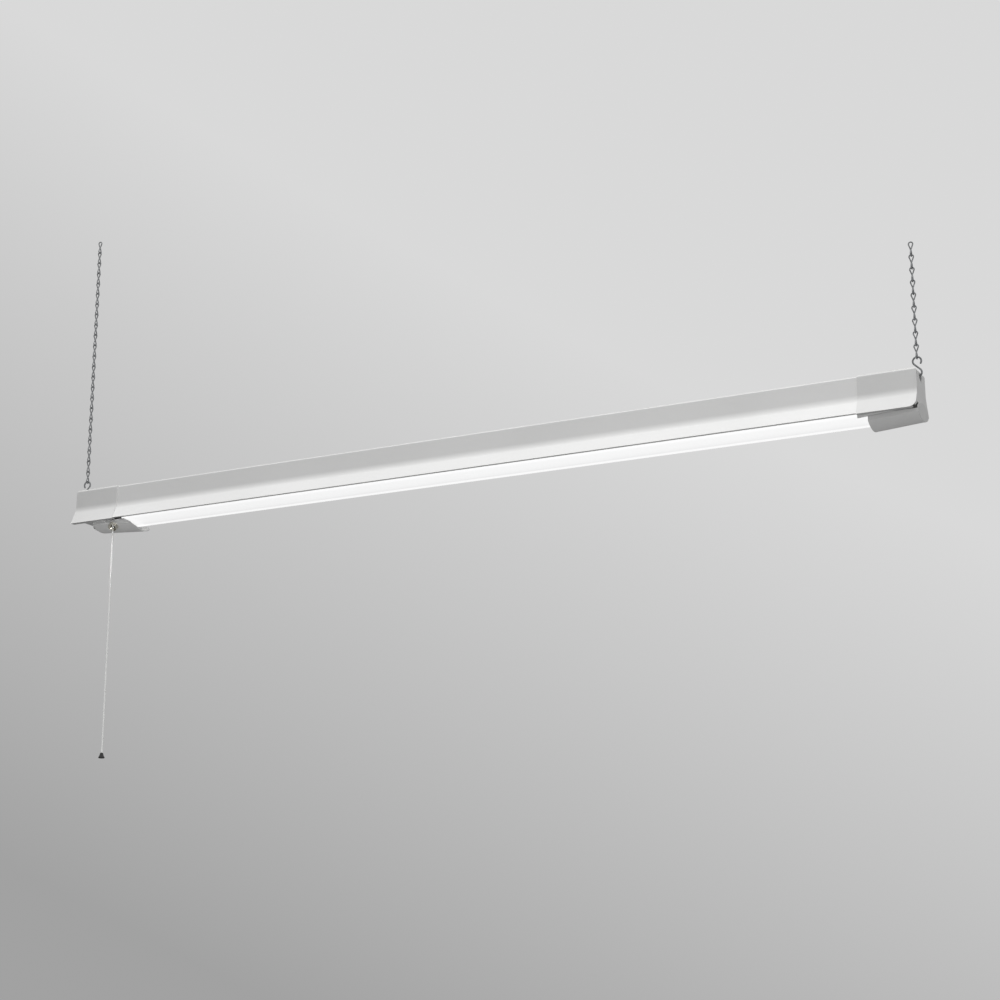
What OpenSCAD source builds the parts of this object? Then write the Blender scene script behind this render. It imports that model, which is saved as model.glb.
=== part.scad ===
// Four-foot linear LED pendant light on two figure-eight chains, with a pull-cord switch.
// X runs along the lamp, -Y is its front and +Z is up. The origin lies midway between the
// two eyes that the chains hang from.

/* [Housing] */
// Length over both end caps
lamp_len = 1219; // [1100:1:1260]
// Width of the flat top
top_w = 34; // [32:1:40]
// Height from the top down to the bend
waist_drop = 26.5; // [25:0.5:30]
// Outer radius of the soft bend
bend_r = 8; // [6:0.5:10]
// Slope of the flared sides, from the vertical
flare_angle = 26; // [24:1:30]
// Height from the top down to the lips
lip_drop = 48; // [46:0.5:52]
// Thickness of the housing sheet
sheet = 0.8; // [0.6:0.1:1]
// Radius of the folded top edges
fold_r = 2; // [1.6:0.1:3]
// Distance from the end of the housing to the end of the lamp
housing_inset = 9.5; // [8:0.5:12]
// Diameter of the ceiling screw holes in the top
ceiling_hole_d = 5; // [4:0.5:6]
// Spacing of the ceiling screw holes
ceiling_hole_pitch = 800; // [700:10:900]

/* [End caps] */
// Length of a cap along the lamp
cap_len = 71; // [66:1:80]
// Wall of the cap
cap_wall = 1.2; // [1:0.1:1.5]
// Clearance between cap and housing
cap_gap = 0.2; // [0.1:0.05:0.3]
// Thickness of the cap's end wall
cap_end_wall = 2; // [1.6:0.1:2.4]
// Depth of the tapered rim below the lips, at the cap's inner end
rim_depth = 3.3; // [2.6:0.1:4]
// Thickness of the rim
rim_wall = 2; // [1.6:0.1:2.4]
// Height from the top down to the bottom edge of the end wall
end_wall_drop = 42; // [40:0.5:44]
// Radius of the rounded lip corner
lip_corner_r = 8.5; // [8:0.5:16]
// Radius of the upper end corner
top_corner_r = 4.5; // [3:0.5:5]
// Diameter of the clearance hole for the S-hook
hook_clear_d = 10; // [9:0.5:11]

/* [Lens and covers] */
// Outer radius of the bowed lens
lens_r = 26; // [25:0.5:28]
// Depth of the lens bow below the lips
lens_bow = 10; // [9:0.5:11]
// Thickness of the lens
lens_wall = 1.4; // [1:0.1:2]
// Distance from the left end of the lamp to the lens
lens_left_inset = 82.5; // [80:0.5:110]
// Distance from the right end of the lamp to the lens
lens_right_inset = 47.5; // [35:0.5:58]
// Outer radius of a cover's bow
cover_r = 34; // [32:0.5:38]
// Wall of a cover
cover_wall = 1.4; // [1:0.1:1.8]
// Depth of a cover below the caps' lips at its outer end
cover_depth = 11.1; // [10:0.1:13]
// Downward slope of a cover towards the lens
cover_slope = 4; // [2:0.5:5]
// How much further in the switch cover's bow reaches than the other cover's
switch_cover_nose = 13.5; // [0:0.5:18]
// Length of a cover
cover_len = 58; // [54:1:62]
// Distance from the left end of the lamp to the switch cover
switch_cover_inset = 33; // [30:1:36]
// Thickness of the almond-shaped plate on the right end
almond_wall = 1.2; // [0.8:0.1:1.6]

/* [Light source] */
// Thickness of the tray
tray_wall = 1; // [0.8:0.1:1.4]
// Half width of the tray
tray_half = 19.5; // [18:0.5:20]
// Height from the top down to the underside of the tray
tray_drop = 43.5; // [42.5:0.5:44]
// Distance from an end of the tray to the LED boards
board_margin = 17.5; // [10:0.5:30]
// Width of one LED board
board_w = 18; // [14:1:20]
// Thickness of one LED board
board_wall = 1.2; // [1:0.1:1.6]
// Number of LEDs in a row on one board
led_count = 30; // [20:1:34]
// Distance from an end of a board to its nearest LED
led_margin = 20.75; // [10:0.25:40]

/* [Hanging] */
// Diameter of the hook wire
hook_wire_d = 2.2; // [1.8:0.1:2.4]
// Centre-line radius of both hook loops
hook_r = 5.1; // [4.9:0.1:5.4]
// Distance between the centres of the two hook loops
hook_span = 14; // [13:0.5:16]
// Height from the top down to the hanger bracket's hole
hang_hole_drop = 7.4; // [7:0.1:8]
// Diameter of the hanger bracket's hole
hang_hole_d = 6; // [5.5:0.1:6.5]
// Thickness of the hanger bracket
bracket_wall = 2; // [1.5:0.1:2]
// Diameter of the chain wire
chain_wire_d = 1.6; // [1.3:0.1:1.8]
// Distance from one chain link to the next
chain_pitch = 16; // [15:0.1:18]
// Centre-line radius of a link's loops
link_r = 2.6; // [2.5:0.1:2.8]
// Number of links in the left chain
left_links = 23; // [8:1:30]
// Number of links in the right chain
right_links = 9; // [4:1:30]

/* [Pull switch] */
// Distance of the switch from the left end of the lamp
switch_x_inset = 68.5; // [67:0.5:70]
// Tilt of the switch from the vertical, towards the front
switch_tilt = 40; // [38:0.5:42]
// Outer radius of the bell mouth
bell_r = 6.6; // [6:0.1:7]
// Radius of the bell's opening
bell_mouth_r = 5.6; // [5.2:0.1:5.8]
// Length of the bell
bell_len = 4.2; // [4:0.1:4.5]
// Radius of the threaded nipple
nipple_r = 4; // [3.8:0.1:4.2]
// Radius of the passage through the nipple
nipple_bore_r = 2.7; // [2.6:0.1:2.8]
// Radius of the switch body
switch_r = 8; // [7.5:0.1:8.2]
// Diameter of the pull cord
cord_d = 2.4; // [2:0.1:2.6]
// Radius of the bead on the cord
bead_r = 2.1; // [1.9:0.1:2.2]
// Height of the bell-shaped cord knob
knob_h = 7.5; // [6:0.5:12]
// Largest radius of the cord knob
knob_r = 4.4; // [4:0.1:6]

/* [Driver and wiring] */
// Length of the driver case
driver_len = 210; // [180:1:260]
// Width of the driver case
driver_w = 28; // [26:0.5:29]
// Height of the driver case
driver_h = 21; // [20:0.5:23]
// Wall of the driver case
driver_wall = 1; // [0.8:0.1:1.2]
// Distance from the left end of the lamp to the middle of the driver case
driver_inset = 309.5; // [300:0.5:330]
// Length of the terminal block
terminal_len = 32; // [28:1:36]
// Distance from the left end of the lamp to the middle of the terminal block
terminal_inset = 139.5; // [130:0.5:150]
// Radius of the power inlet through its bushing
inlet_r = 4; // [3:0.5:4.5]
// Height from the top down to the power inlet
inlet_drop = 24; // [22:0.5:26]
// Radius of the insulated wires
wire_r = 1; // [0.8:0.1:1.1]

/* [Hidden] */

round_fn = 48;
eps = 0.01;
fold_steps = 4;
bend_steps = 6;
contact_gap = 0.3;
end_x = lamp_len / 2;
housing_x = end_x - housing_inset;

// Housing section, as half-widths from the top down to the lip
function bend_y(inset, t) = top_w / 2 + bend_r - (bend_r + inset) * cos(t);
function bend_z(inset, t) = -waist_drop - (bend_r + inset) * sin(t);
function flank_y(inset, z) =
    bend_y(inset, flare_angle) + (bend_z(inset, flare_angle) - z) * tan(flare_angle);
function fold_pts(inset) =
    [for (i = [0:fold_steps]) let (t = 90 - 90 * i / fold_steps)
        [top_w / 2 - fold_r + (fold_r - inset) * cos(t), -fold_r + (fold_r - inset) * sin(t)]];
function bend_pts(inset) =
    [for (i = [0:bend_steps]) let (t = flare_angle * i / bend_steps) [bend_y(inset, t), bend_z(inset, t)]];
function half_pts(inset, drop) =
    concat(fold_pts(inset), bend_pts(inset), [[flank_y(inset, -drop), -drop]]);
function mirrored(pts) = [for (i = [len(pts) - 1:-1:0]) [-pts[i][0], pts[i][1]]];

lens_left = end_x - lens_left_inset;
lens_right = end_x - lens_right_inset;
lens_axis_z = -lip_drop - lens_bow + lens_r;
lens_half = sqrt(lens_r * lens_r - (lip_drop + lens_axis_z) * (lip_drop + lens_axis_z));
slot_half = lens_half + 0.8;
flange_half = slot_half + 2.6;
lens_flange_z = -lip_drop + sheet;
lens_flange_t = 1.2;

// End cap
cap_x = end_x - cap_len;
cap_out = -(cap_gap + cap_wall);
cap_lip_z = -lip_drop - cap_gap - cap_wall;
rim_len = rim_depth / tan(cover_slope);
rim_in = slot_half - 0.3;
rim_out = rim_in + rim_wall;
rim_notch_len = 14;
corner_cut_y = -rim_in + 0.5;
end_wall_x = end_x - cap_end_wall;
tongue_half = rim_in - 2;
tongue_wall = 1.5;
shelf_x = end_x - switch_cover_inset - 2;

// Covers
cover_half = rim_in - 0.2;
cover_top_z = cap_lip_z - 0.2;
cover_outer_z = cap_lip_z - cover_depth;
almond_peak_z = -end_wall_drop + 2.5;
almond_edge = 0.3;
switch_cover_x = -end_x + switch_cover_inset;
cover_right_in = end_x - cover_len - 1;
switch_cover_in = switch_cover_x + cover_len + switch_cover_nose;
nose_cut = [[-18, 1], [-18, 0], [-6, -6], [0, -12], [1, -12], [1, 1]];

// Hanging
bracket_x = end_x - cap_end_wall - bracket_wall;
hang_x = bracket_x + bracket_wall / 2;
bracket_half = 12;
bracket_h = 13.5;
bracket_foot = 26;
bracket_slot = 6.5;
hook_low_z = -hang_hole_drop + hang_hole_d / 2 - contact_gap - hook_wire_d / 2 + hook_r;
hook_high_z = hook_low_z + hook_span;
hook_lean = asin(2 * hook_r / hook_span);
hook_stem = hook_span * cos(hook_lean);
link_half = (chain_pitch + chain_wire_d + contact_gap) / 2;
first_link_z = hook_high_z + hook_r - hook_wire_d / 2 - contact_gap - chain_wire_d / 2 + link_half;
function link_z(i) = first_link_z + i * chain_pitch;
function eye_z(links) = link_z(links - 1) + link_half - chain_wire_d / 2;
joint_ball = 1.03;
joint_gap = 0.03;
hang_height = (eye_z(left_links) + eye_z(right_links)) / 2;

// Screws
screw_r = 1.75;
screw_head_r = 3.4;
screw_head_h = 1.8;
cap_screw_y = 8;
cap_screw_x = bracket_x - 16;
cap_top_z = cap_gap + cap_wall;
tray_screw_r = 1.5;
tray_screw_len = 7;
tray_head_r = 2.2;
tray_head_h = 1.26;

// Light source
tray_top_z = -tray_drop + tray_wall;
tray_left = -lens_left + 4;
tray_right = lens_right - 4;
tray_flange_half = 17.5;
tray_flange_h = 5;
board_z = -tray_drop - board_wall;
board_gap = 6;
board_mid = (tray_left + tray_right) / 2;
board_len = (tray_right - tray_left - board_gap) / 2 - board_margin;
led_pitch = (board_len - 2 * led_margin) / (led_count - 1);
led_l = 3.5;
led_w = 2.8;
led_h = 0.7;
wire_hole_r = 5;

// Pull switch: distances along its tilted axis start at the mouth of the bell
switch_x = -end_x + switch_x_inset;
mouth_y = -22.1;
mouth_z = -61.9;
washer_wall = 0.8;
boss_s = bell_len + washer_wall;
boss_r = 7.2;
boss_len = 3.4;
boss_recess = 0.8;
recess_s = boss_s + boss_len - boss_recess;
neck_s = recess_s + 0.05;
neck_r = nipple_r + 1.6;
neck_gap = 0.4;
body_s = boss_s + 10;
body_len = 18;
body_wall = 1.3;
lid_wall = 1.4;
nipple_end_s = body_s - 1;
drum_s = body_s + 9.5;
drum_r = 4.6;
drum_w = 8;
blade_s = drum_s + drum_r + 0.4;
blade_w = 3;
blade_wall = 0.6;
pin_r = 1;
pin_gap = 0.05;
cord_off = 2.5;
bead_drop = 0.5;
function on_axis_y(s) = mouth_y + s * sin(switch_tilt);
function on_axis_z(s) = mouth_z + s * cos(switch_tilt);
cord_y = mouth_y + cord_off * cos(switch_tilt);
cord_top_z = mouth_z - cord_off * sin(switch_tilt);
bead_z = cord_top_z - bead_drop;

// Driver and wiring
driver_top_z = -sheet;
driver_low_z = driver_top_z - driver_h;
driver_x = -end_x + driver_inset;
driver_x0 = driver_x - driver_len / 2;
driver_x1 = driver_x + driver_len / 2;
board_drop = 4;
circuit_wall = 1.6;
circuit_low_z = driver_low_z + board_drop;
circuit_top_z = circuit_low_z + circuit_wall;
transformer = [24, 18, 12];
choke = [14, 14, 10];
choke_x = driver_x + driver_len * 0.195;
big_capacitor_r = 6;
big_capacitor_h = 13;
big_capacitor_xs = [driver_x - driver_len * 0.314, driver_x - driver_len * 0.229];
small_capacitor_r = 4;
small_capacitor_h = 11;
small_capacitor_xs = [driver_x + driver_len * 0.295, driver_x + driver_len * 0.352];
lid_post_r = 2;
wire_hole_x = driver_x1 + 44;
terminal_x = -end_x + terminal_inset;
terminal_w = 16;
terminal_h = 13;
terminal_low_z = -sheet - terminal_h;

// Posts that hold the tray: near its ends, between terminal block and driver, and along the rest
post_half_l = 3;
post_half_w = 2.6;
post_y = 12.2;
post_end = 14;
post_xs = [tray_left + post_end, (terminal_x + terminal_len / 2 + driver_x0) / 2, board_mid,
           (board_mid + tray_right) / 2, tray_right - post_end];
function post_side(i) = i % 2 == 0 ? -1 : 1;
inlet_flange_r = inlet_r + 3.4;
inlet_neck_r = inlet_r + 1.6;

// Pull cord route from the bell down into the knob, counted from the bead's centre
cord_route = [[0, 0, 7], [0, 0, -100], [0, 0, -200], [0, 0, -316]];
cord_ring_step = 6;
tube_sides = 8;
knob_grip = 3;
knob_z = bead_z + cord_route[len(cord_route) - 1][2] + knob_grip - knob_h;

// Colours
white_paint = [0.9, 0.9, 0.89];
cap_grey = [0.8, 0.8, 0.8];
cover_grey = [0.62, 0.62, 0.62];
lens_white = [0.97, 0.98, 1];
zinc = [0.45, 0.46, 0.47];
nickel = [0.72, 0.7, 0.64];
board_white = [0.93, 0.94, 0.92];
led_yellow = [0.95, 0.85, 0.4];
black_plastic = [0.08, 0.08, 0.09];
circuit_green = [0.1, 0.4, 0.22];

module in_place() {
    translate([0, 0, -hang_height]) children();
}

module along_x(x0, x1) {
    translate([x0, 0, 0]) rotate([90, 0, 90]) linear_extrude(x1 - x0) children();
}

module along_y(y0, y1) {
    translate([0, y1, 0]) rotate([90, 0, 0]) linear_extrude(y1 - y0) children();
}

module box(x0, x1, y0, y1, z0, z1) {
    translate([x0, y0, z0]) cube([x1 - x0, y1 - y0, z1 - z0]);
}

module section(inset, drop) {
    polygon(concat(half_pts(inset, drop), mirrored(half_pts(inset, drop))));
}

module turned() {
    rotate([0, 0, 180]) children();
}

module on_switch_axis(s) {
    translate([switch_x, on_axis_y(s), on_axis_z(s)]) rotate([-switch_tilt, 0, 0]) children();
}

module pan_screw(x, y, z, length, up) {
    translate([x, y, z]) rotate([up ? 0 : 180, 0, 0]) {
        translate([0, 0, -length]) cylinder(r = screw_r, h = length, $fn = round_fn);
        cylinder(r1 = screw_head_r, r2 = screw_head_r * 0.7, h = screw_head_h, $fn = round_fn);
    }
}

// A tube along a route: the rings lean halfway between the runs that meet at them
function unit(v) = v / norm(v);
function run_dir(pts, i) =
    i == 0 ? unit(pts[1] - pts[0])
    : i == len(pts) - 1 ? unit(pts[i] - pts[i - 1])
    : unit(unit(pts[i] - pts[i - 1]) + unit(pts[i + 1] - pts[i]));
function ring_side(dir) = unit(cross(dir, abs(dir[0]) < 0.9 ? [1, 0, 0] : [0, 1, 0]));
function carried_side(side, dir) = unit(side - (side * dir) * dir);
function ring_sides(pts, i, side) =
    i == len(pts) ? []
    : let (now = carried_side(side, run_dir(pts, i))) concat([now], ring_sides(pts, i + 1, now));

module route_tube(pts, r, sides) {
    n = sides;
    last = len(pts) - 1;
    along = ring_sides(pts, 0, ring_side(run_dir(pts, 0)));
    rings = [for (i = [0:last]) let (dir = run_dir(pts, i), u = along[i], w = cross(dir, u))
        each [for (k = [0:n - 1]) pts[i] + r * (u * cos(360 * k / n) + w * sin(360 * k / n))]];
    walls = [for (i = [0:last - 1], k = [0:n - 1]) let (a = i * n + k, b = i * n + (k + 1) % n)
        each [[a, a + n, b], [b, a + n, b + n]]];
    near_end = [for (k = [1:n - 2]) [0, k, k + 1]];
    far_end = [for (k = [1:n - 2]) [last * n, last * n + k + 1, last * n + k]];
    polyhedron(points = rings, faces = concat(walls, near_end, far_end));
}

// The same route with a point at least every so many millimetres
function filled(pts, step) = [for (i = [0:len(pts) - 1])
    each i == 0 ? [pts[0]]
    : let (n = max(1, ceil(norm(pts[i] - pts[i - 1]) / step)))
        [for (k = [1:n]) pts[i - 1] + (pts[i] - pts[i - 1]) * k / n]];

// Housing
module housing() {
    color(white_paint) in_place() difference() {
        along_x(-housing_x, housing_x) difference() {
            section(0, lip_drop);
            section(sheet, lip_drop - sheet);
            translate([-slot_half, -lip_drop - 1]) square([2 * slot_half, sheet + 2]);
        }
        for (x = [-ceiling_hole_pitch / 2, ceiling_hole_pitch / 2])
            translate([x, 0, -sheet - 1]) cylinder(d = ceiling_hole_d, h = sheet + 2, $fn = round_fn);
        for (s = [-1, 1], y = [-cap_screw_y, cap_screw_y])
            translate([s * cap_screw_x, y, -sheet - 1])
                cylinder(r = screw_r + 0.1, h = sheet + 2, $fn = round_fn);
    }
}

// One moulding serves both ends: it is drawn for the right end and turned round for the left
module lip_corner_cut() {
    y0 = -flank_y(cap_out, cap_lip_z) - 2;
    along_y(y0, corner_cut_y) translate([end_x - lip_corner_r, cap_lip_z - eps]) difference() {
        square([lip_corner_r + 1, lip_corner_r]);
        translate([0, lip_corner_r]) circle(r = lip_corner_r, $fn = 96);
    }
}

module top_corner_cut() {
    along_y(-top_w, top_w) translate([end_x - top_corner_r, cap_top_z - top_corner_r]) difference() {
        square([top_corner_r + 1, top_corner_r + 1]);
        circle(r = top_corner_r, $fn = 96);
    }
}

module rim_profile(notch) {
    intersection() {
        polygon([[cap_x, cap_lip_z + eps], [cap_x, cap_lip_z - rim_depth], [cap_x + rim_len, cap_lip_z],
                 [cap_x + rim_len, cap_lip_z + eps]]);
        translate([cap_x + notch, -100]) square([cap_len, 100]);
    }
}

module end_cap_shape() {
    difference() {
        union() {
            along_x(cap_x, end_x) difference() {
                section(cap_out, -cap_lip_z);
                section(-cap_gap, lip_drop + cap_gap);
                translate([-rim_in, cap_lip_z - 1]) square([2 * rim_in, cap_wall + 2]);
            }
            along_x(end_wall_x, end_x) difference() {
                section(cap_out, -cap_lip_z);
                translate([-rim_in, cap_lip_z - 1]) square([2 * rim_in, -cap_lip_z + 1 - end_wall_drop]);
            }
            along_y(-rim_out, -rim_in) rim_profile(0);
            along_y(rim_in, rim_out) rim_profile(rim_notch_len);
            box(shelf_x, end_wall_x + eps, -tongue_half, tongue_half,
                -end_wall_drop, -end_wall_drop + tongue_wall);
        }
        lip_corner_cut();
        top_corner_cut();
        translate([end_x, 0, -hang_hole_drop]) rotate([0, 90, 0])
            translate([0, 0, -cap_end_wall - 1])
                cylinder(d = hook_clear_d, h = cap_end_wall + 2, $fn = round_fn);
        for (y = [-cap_screw_y, cap_screw_y]) translate([cap_screw_x, y, 0])
            cylinder(r = screw_r + 0.1, h = cap_top_z + 1, $fn = round_fn);
    }
}

module end_cap_right() {
    color(cap_grey) in_place() end_cap_shape();
}

module end_cap_left() {
    color(cap_grey) in_place() difference() {
        turned() end_cap_shape();
        translate([-end_x - 1, 0, -inlet_drop]) rotate([0, 90, 0])
            cylinder(r = inlet_neck_r + 0.1, h = cap_end_wall + 2, $fn = round_fn);
    }
}

module hanger_bracket_shape() {
    difference() {
        union() {
            box(bracket_x, bracket_x + bracket_wall, -bracket_half, bracket_half,
                -sheet - bracket_h, -sheet);
            box(bracket_x - bracket_foot, bracket_x + eps, -bracket_half, bracket_half,
                -sheet - bracket_wall, -sheet);
        }
        translate([bracket_x - 1, 0, -hang_hole_drop]) rotate([0, 90, 0])
            cylinder(d = hang_hole_d, h = bracket_wall + 2, $fn = round_fn);
        box(bracket_x - bracket_slot, bracket_x, -4, 4, -sheet - bracket_wall - 1, 0);
        for (y = [-cap_screw_y, cap_screw_y]) translate([cap_screw_x, y, -sheet - bracket_wall - 1])
            cylinder(r = screw_r + 0.1, h = bracket_wall + 2, $fn = round_fn);
    }
}

module hanger_bracket_right() {
    color(zinc) in_place() hanger_bracket_shape();
}

module hanger_bracket_left() {
    color(zinc) in_place() turned() hanger_bracket_shape();
}

module cap_screws() {
    color(nickel) in_place() for (s = [-1, 1], y = [-cap_screw_y, cap_screw_y])
        pan_screw(s * cap_screw_x, y, cap_top_z, cap_top_z + sheet + bracket_wall + 2, true);
}

// Light source
module led_tray() {
    color(white_paint) in_place() difference() {
        union() {
            box(tray_left, tray_right, -tray_half, tray_half, -tray_drop, tray_top_z);
            for (y = [-tray_flange_half, tray_flange_half - tray_wall])
                box(tray_left, tray_right, y, y + tray_wall, tray_top_z - eps, tray_top_z + tray_flange_h);
        }
        for (i = [0:len(post_xs) - 1]) translate([post_xs[i], post_side(i) * post_y, -tray_drop - 1])
            cylinder(r = screw_r + 0.1, h = tray_wall + 2, $fn = round_fn);
        translate([wire_hole_x, 0, -tray_drop - 1])
            cylinder(r = wire_hole_r, h = tray_wall + 2, $fn = round_fn);
    }
}

module tray_posts() {
    color(nickel) in_place() for (i = [0:len(post_xs) - 1])
        translate([post_xs[i], post_side(i) * post_y, tray_top_z]) difference() {
            box(-post_half_l, post_half_l, -post_half_w, post_half_w, 0, -sheet - tray_top_z);
            translate([0, 0, -1]) cylinder(r = tray_screw_r + 0.05, h = tray_screw_len + 2, $fn = round_fn);
        }
}

module tray_screws() {
    color(nickel) in_place() for (i = [0:len(post_xs) - 1])
        translate([post_xs[i], post_side(i) * post_y, -tray_drop]) {
            translate([0, 0, -tray_head_h]) cylinder(r = tray_head_r, h = tray_head_h, $fn = round_fn);
            cylinder(r = tray_screw_r, h = tray_wall + tray_screw_len, $fn = round_fn);
        }
}

function board_x0(side) = side < 0 ? board_mid - board_gap / 2 - board_len : board_mid + board_gap / 2;

module led_board(side) {
    box(board_x0(side), board_x0(side) + board_len, -board_w / 2, board_w / 2, board_z, -tray_drop);
}

module led_board_left() {
    color(board_white) in_place() led_board(-1);
}

module led_board_right() {
    color(board_white) in_place() led_board(1);
}

module leds() {
    color(led_yellow) in_place() for (side = [-1, 1], i = [0:led_count - 1])
        translate([board_x0(side) + led_margin + i * led_pitch, 0, board_z - led_h / 2])
            cube([led_l, led_w, led_h], center = true);
}

module bow_section(r, wall, axis_z, top_z, half) {
    difference() {
        translate([0, axis_z]) circle(r = r, $fn = 180);
        translate([0, axis_z]) circle(r = r - wall, $fn = 180);
        translate([-2 * r, top_z]) square([4 * r, 4 * r]);
    }
}

module lens() {
    color(lens_white) in_place() along_x(-lens_left, lens_right) {
        bow_section(lens_r, lens_wall, lens_axis_z, lens_flange_z + lens_flange_t, lens_half);
        for (s = [-1, 1]) translate([s < 0 ? -flange_half : lens_half - 0.6, lens_flange_z])
            square([flange_half - lens_half + 0.6, lens_flange_t]);
    }
}

// Covers: a bow that deepens towards the lens, hung inside the caps' rims
module cover_block(x_out, x_in, drop) {
    side = x_in > x_out ? 1 : -1;
    low_z = cover_outer_z + drop;
    intersection() {
        box(min(x_out, x_in), max(x_out, x_in), -cover_half + drop, cover_half - drop,
            -lip_drop * 2, cover_top_z + (drop > 0 ? 5 : 0));
        translate([x_out, 0, low_z]) rotate([0, side * (90 + cover_slope), 0])
            translate([-side * (cover_r - drop), 0, -20]) cylinder(r = cover_r - drop, h = 120, $fn = 180);
    }
}

module almond() {
    intersection() {
        translate([0, almond_peak_z - cover_r]) circle(r = cover_r, $fn = 180);
        translate([0, cover_outer_z - almond_edge + cover_r]) circle(r = cover_r, $fn = 180);
        translate([-cover_half - almond_edge, -100]) square([2 * cover_half + 2 * almond_edge, 100]);
    }
}

module end_cover_right() {
    color(cover_grey) in_place() {
        difference() {
            cover_block(end_x + eps, cover_right_in, 0);
            difference() {
                cover_block(end_x, cover_right_in - 1, cover_wall);
                box(end_x - cover_wall, end_x + 1, -lip_drop, lip_drop, -100, 0);
            }
        }
        along_x(end_x, end_x + almond_wall) almond();
    }
}

module switch_cover() {
    color(cover_grey) in_place() difference() {
        union() {
            difference() {
                cover_block(switch_cover_x, switch_cover_in, 0);
                difference() {
                    cover_block(switch_cover_x, switch_cover_in + 1, cover_wall);
                    box(switch_cover_x - 1, switch_cover_x + cover_wall, -lip_drop, lip_drop, -100, 0);
                }
            }
            on_switch_axis(boss_s) cylinder(r = boss_r, h = boss_len, $fn = round_fn);
            box(switch_cover_x, switch_cover_x + cover_wall, -tongue_half, tongue_half,
                cover_top_z - 1, -end_wall_drop - contact_gap);
        }
        on_switch_axis(boss_s - 1) cylinder(r = nipple_r + 0.1, h = boss_len + 2, $fn = round_fn);
        on_switch_axis(recess_s) cylinder(r = neck_r + neck_gap, h = 12, $fn = round_fn);
        translate([switch_cover_in, cover_half + 1, cover_top_z]) rotate([90, 0, 0])
            linear_extrude(2 * cover_half + 2)
                polygon(nose_cut);
    }
}

// Pull switch
module switch_washer() {
    color(nickel) in_place() on_switch_axis(bell_len) difference() {
        cylinder(r = bell_r, h = washer_wall, $fn = round_fn);
        translate([0, 0, -1]) cylinder(r = nipple_r + 0.1, h = washer_wall + 2, $fn = round_fn);
    }
}

module switch_bell() {
    color(nickel) in_place() on_switch_axis(0) rotate_extrude($fn = 96)
        polygon([[bell_mouth_r, 0], [bell_r - 0.4, 0], [bell_r, 0.4], [bell_r, 1.2],
                 [bell_r - 1, bell_len - 1], [bell_r - 0.6, bell_len], [nipple_r + 0.1, bell_len],
                 [nipple_r + 0.1, bell_len - 1.4], [nipple_bore_r + 0.2, bell_len - 1.4]]);
}

module switch_nipple() {
    color(nickel) in_place() on_switch_axis(bell_len - 1.4) difference() {
        cylinder(r = nipple_r, h = nipple_end_s - bell_len + 1.4, $fn = round_fn);
        translate([0, 0, -1]) cylinder(r = nipple_bore_r, h = 40, $fn = round_fn);
    }
}

module switch_body() {
    color(black_plastic) in_place() difference() {
        union() {
            on_switch_axis(body_s) cylinder(r = switch_r, h = body_len, $fn = round_fn);
            on_switch_axis(neck_s) cylinder(r = neck_r, h = body_s - neck_s + eps, $fn = round_fn);
        }
        on_switch_axis(body_s + body_wall)
            cylinder(r = switch_r - body_wall, h = body_len, $fn = round_fn);
        on_switch_axis(neck_s - 1)
            cylinder(r = nipple_r + 0.05, h = nipple_end_s - neck_s + 1, $fn = round_fn);
        on_switch_axis(neck_s) cylinder(r = nipple_bore_r, h = body_len, $fn = round_fn);
        on_switch_axis(drum_s) rotate([0, 90, 0]) translate([0, 0, -20])
            cylinder(r = pin_r + 0.02, h = 40, $fn = round_fn);
    }
}

module switch_lid() {
    color(black_plastic) in_place() on_switch_axis(body_s + body_len)
        cylinder(r = switch_r, h = lid_wall, $fn = round_fn);
}

module switch_pin() {
    color(nickel) in_place() on_switch_axis(drum_s) rotate([0, 90, 0])
        translate([0, 0, -switch_r]) cylinder(r = pin_r, h = 2 * switch_r, $fn = round_fn);
}

module switch_drum() {
    color(white_paint) in_place() on_switch_axis(drum_s) rotate([0, 90, 0]) difference() {
        union() {
            translate([0, 0, -drum_w / 2]) cylinder(r = drum_r, h = 1.2, $fn = round_fn);
            translate([0, 0, 0.6]) cylinder(r = drum_r, h = 1.2, $fn = round_fn);
            translate([0, 0, -drum_w / 2]) cylinder(r = drum_r - 1.4, h = drum_w / 2 + 1.8, $fn = round_fn);
        }
        translate([0, 0, -10]) cylinder(r = pin_r + pin_gap, h = 20, $fn = round_fn);
        translate([drum_r - 1.6, -0.6, -drum_w]) cube([3, 1.2, drum_w + 4]);
    }
}

module switch_spring() {
    color(zinc) in_place() on_switch_axis(drum_s) rotate([0, 90, 0]) translate([0, 0, 2.6])
        rotate_extrude($fn = 64) translate([1.75, 0]) circle(r = 0.5, $fn = 24);
}

module switch_contacts() {
    color(nickel) in_place() for (s = [-1, 1])
        on_switch_axis(blade_s) translate([s * 3.2 - blade_wall / 2, -blade_w / 2, 0])
            cube([blade_wall, blade_w, body_s + body_len - blade_s]);
}

module cord_bead() {
    color(nickel) in_place() translate([switch_x, cord_y, bead_z]) difference() {
        sphere(r = bead_r, $fn = round_fn);
        cylinder(r = cord_d / 2 + 0.02, h = 4 * bead_r, center = true, $fn = round_fn);
    }
}

module knob_profile() {
    rotate_extrude($fn = 96)
        polygon([[0, 0], [knob_r - 0.8, 0], [knob_r, 0.7], [knob_r - 0.2, 1.8],
                 [knob_r - 1.2, knob_h * 0.45], [knob_r * 0.55, knob_h * 0.8], [1.9, knob_h], [0, knob_h]]);
}

module cord_knob() {
    color(black_plastic) in_place() translate([switch_x, cord_y, knob_z]) difference() {
        knob_profile();
        translate([0, 0, knob_h - knob_grip])
            cylinder(r = cord_d / 2 + 0.02, h = knob_grip + 1, $fn = round_fn);
    }
}

module pull_cord() {
    color("white") in_place() translate([switch_x, cord_y, bead_z])
        route_tube(filled(cord_route, cord_ring_step), cord_d / 2, tube_sides);
}

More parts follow.
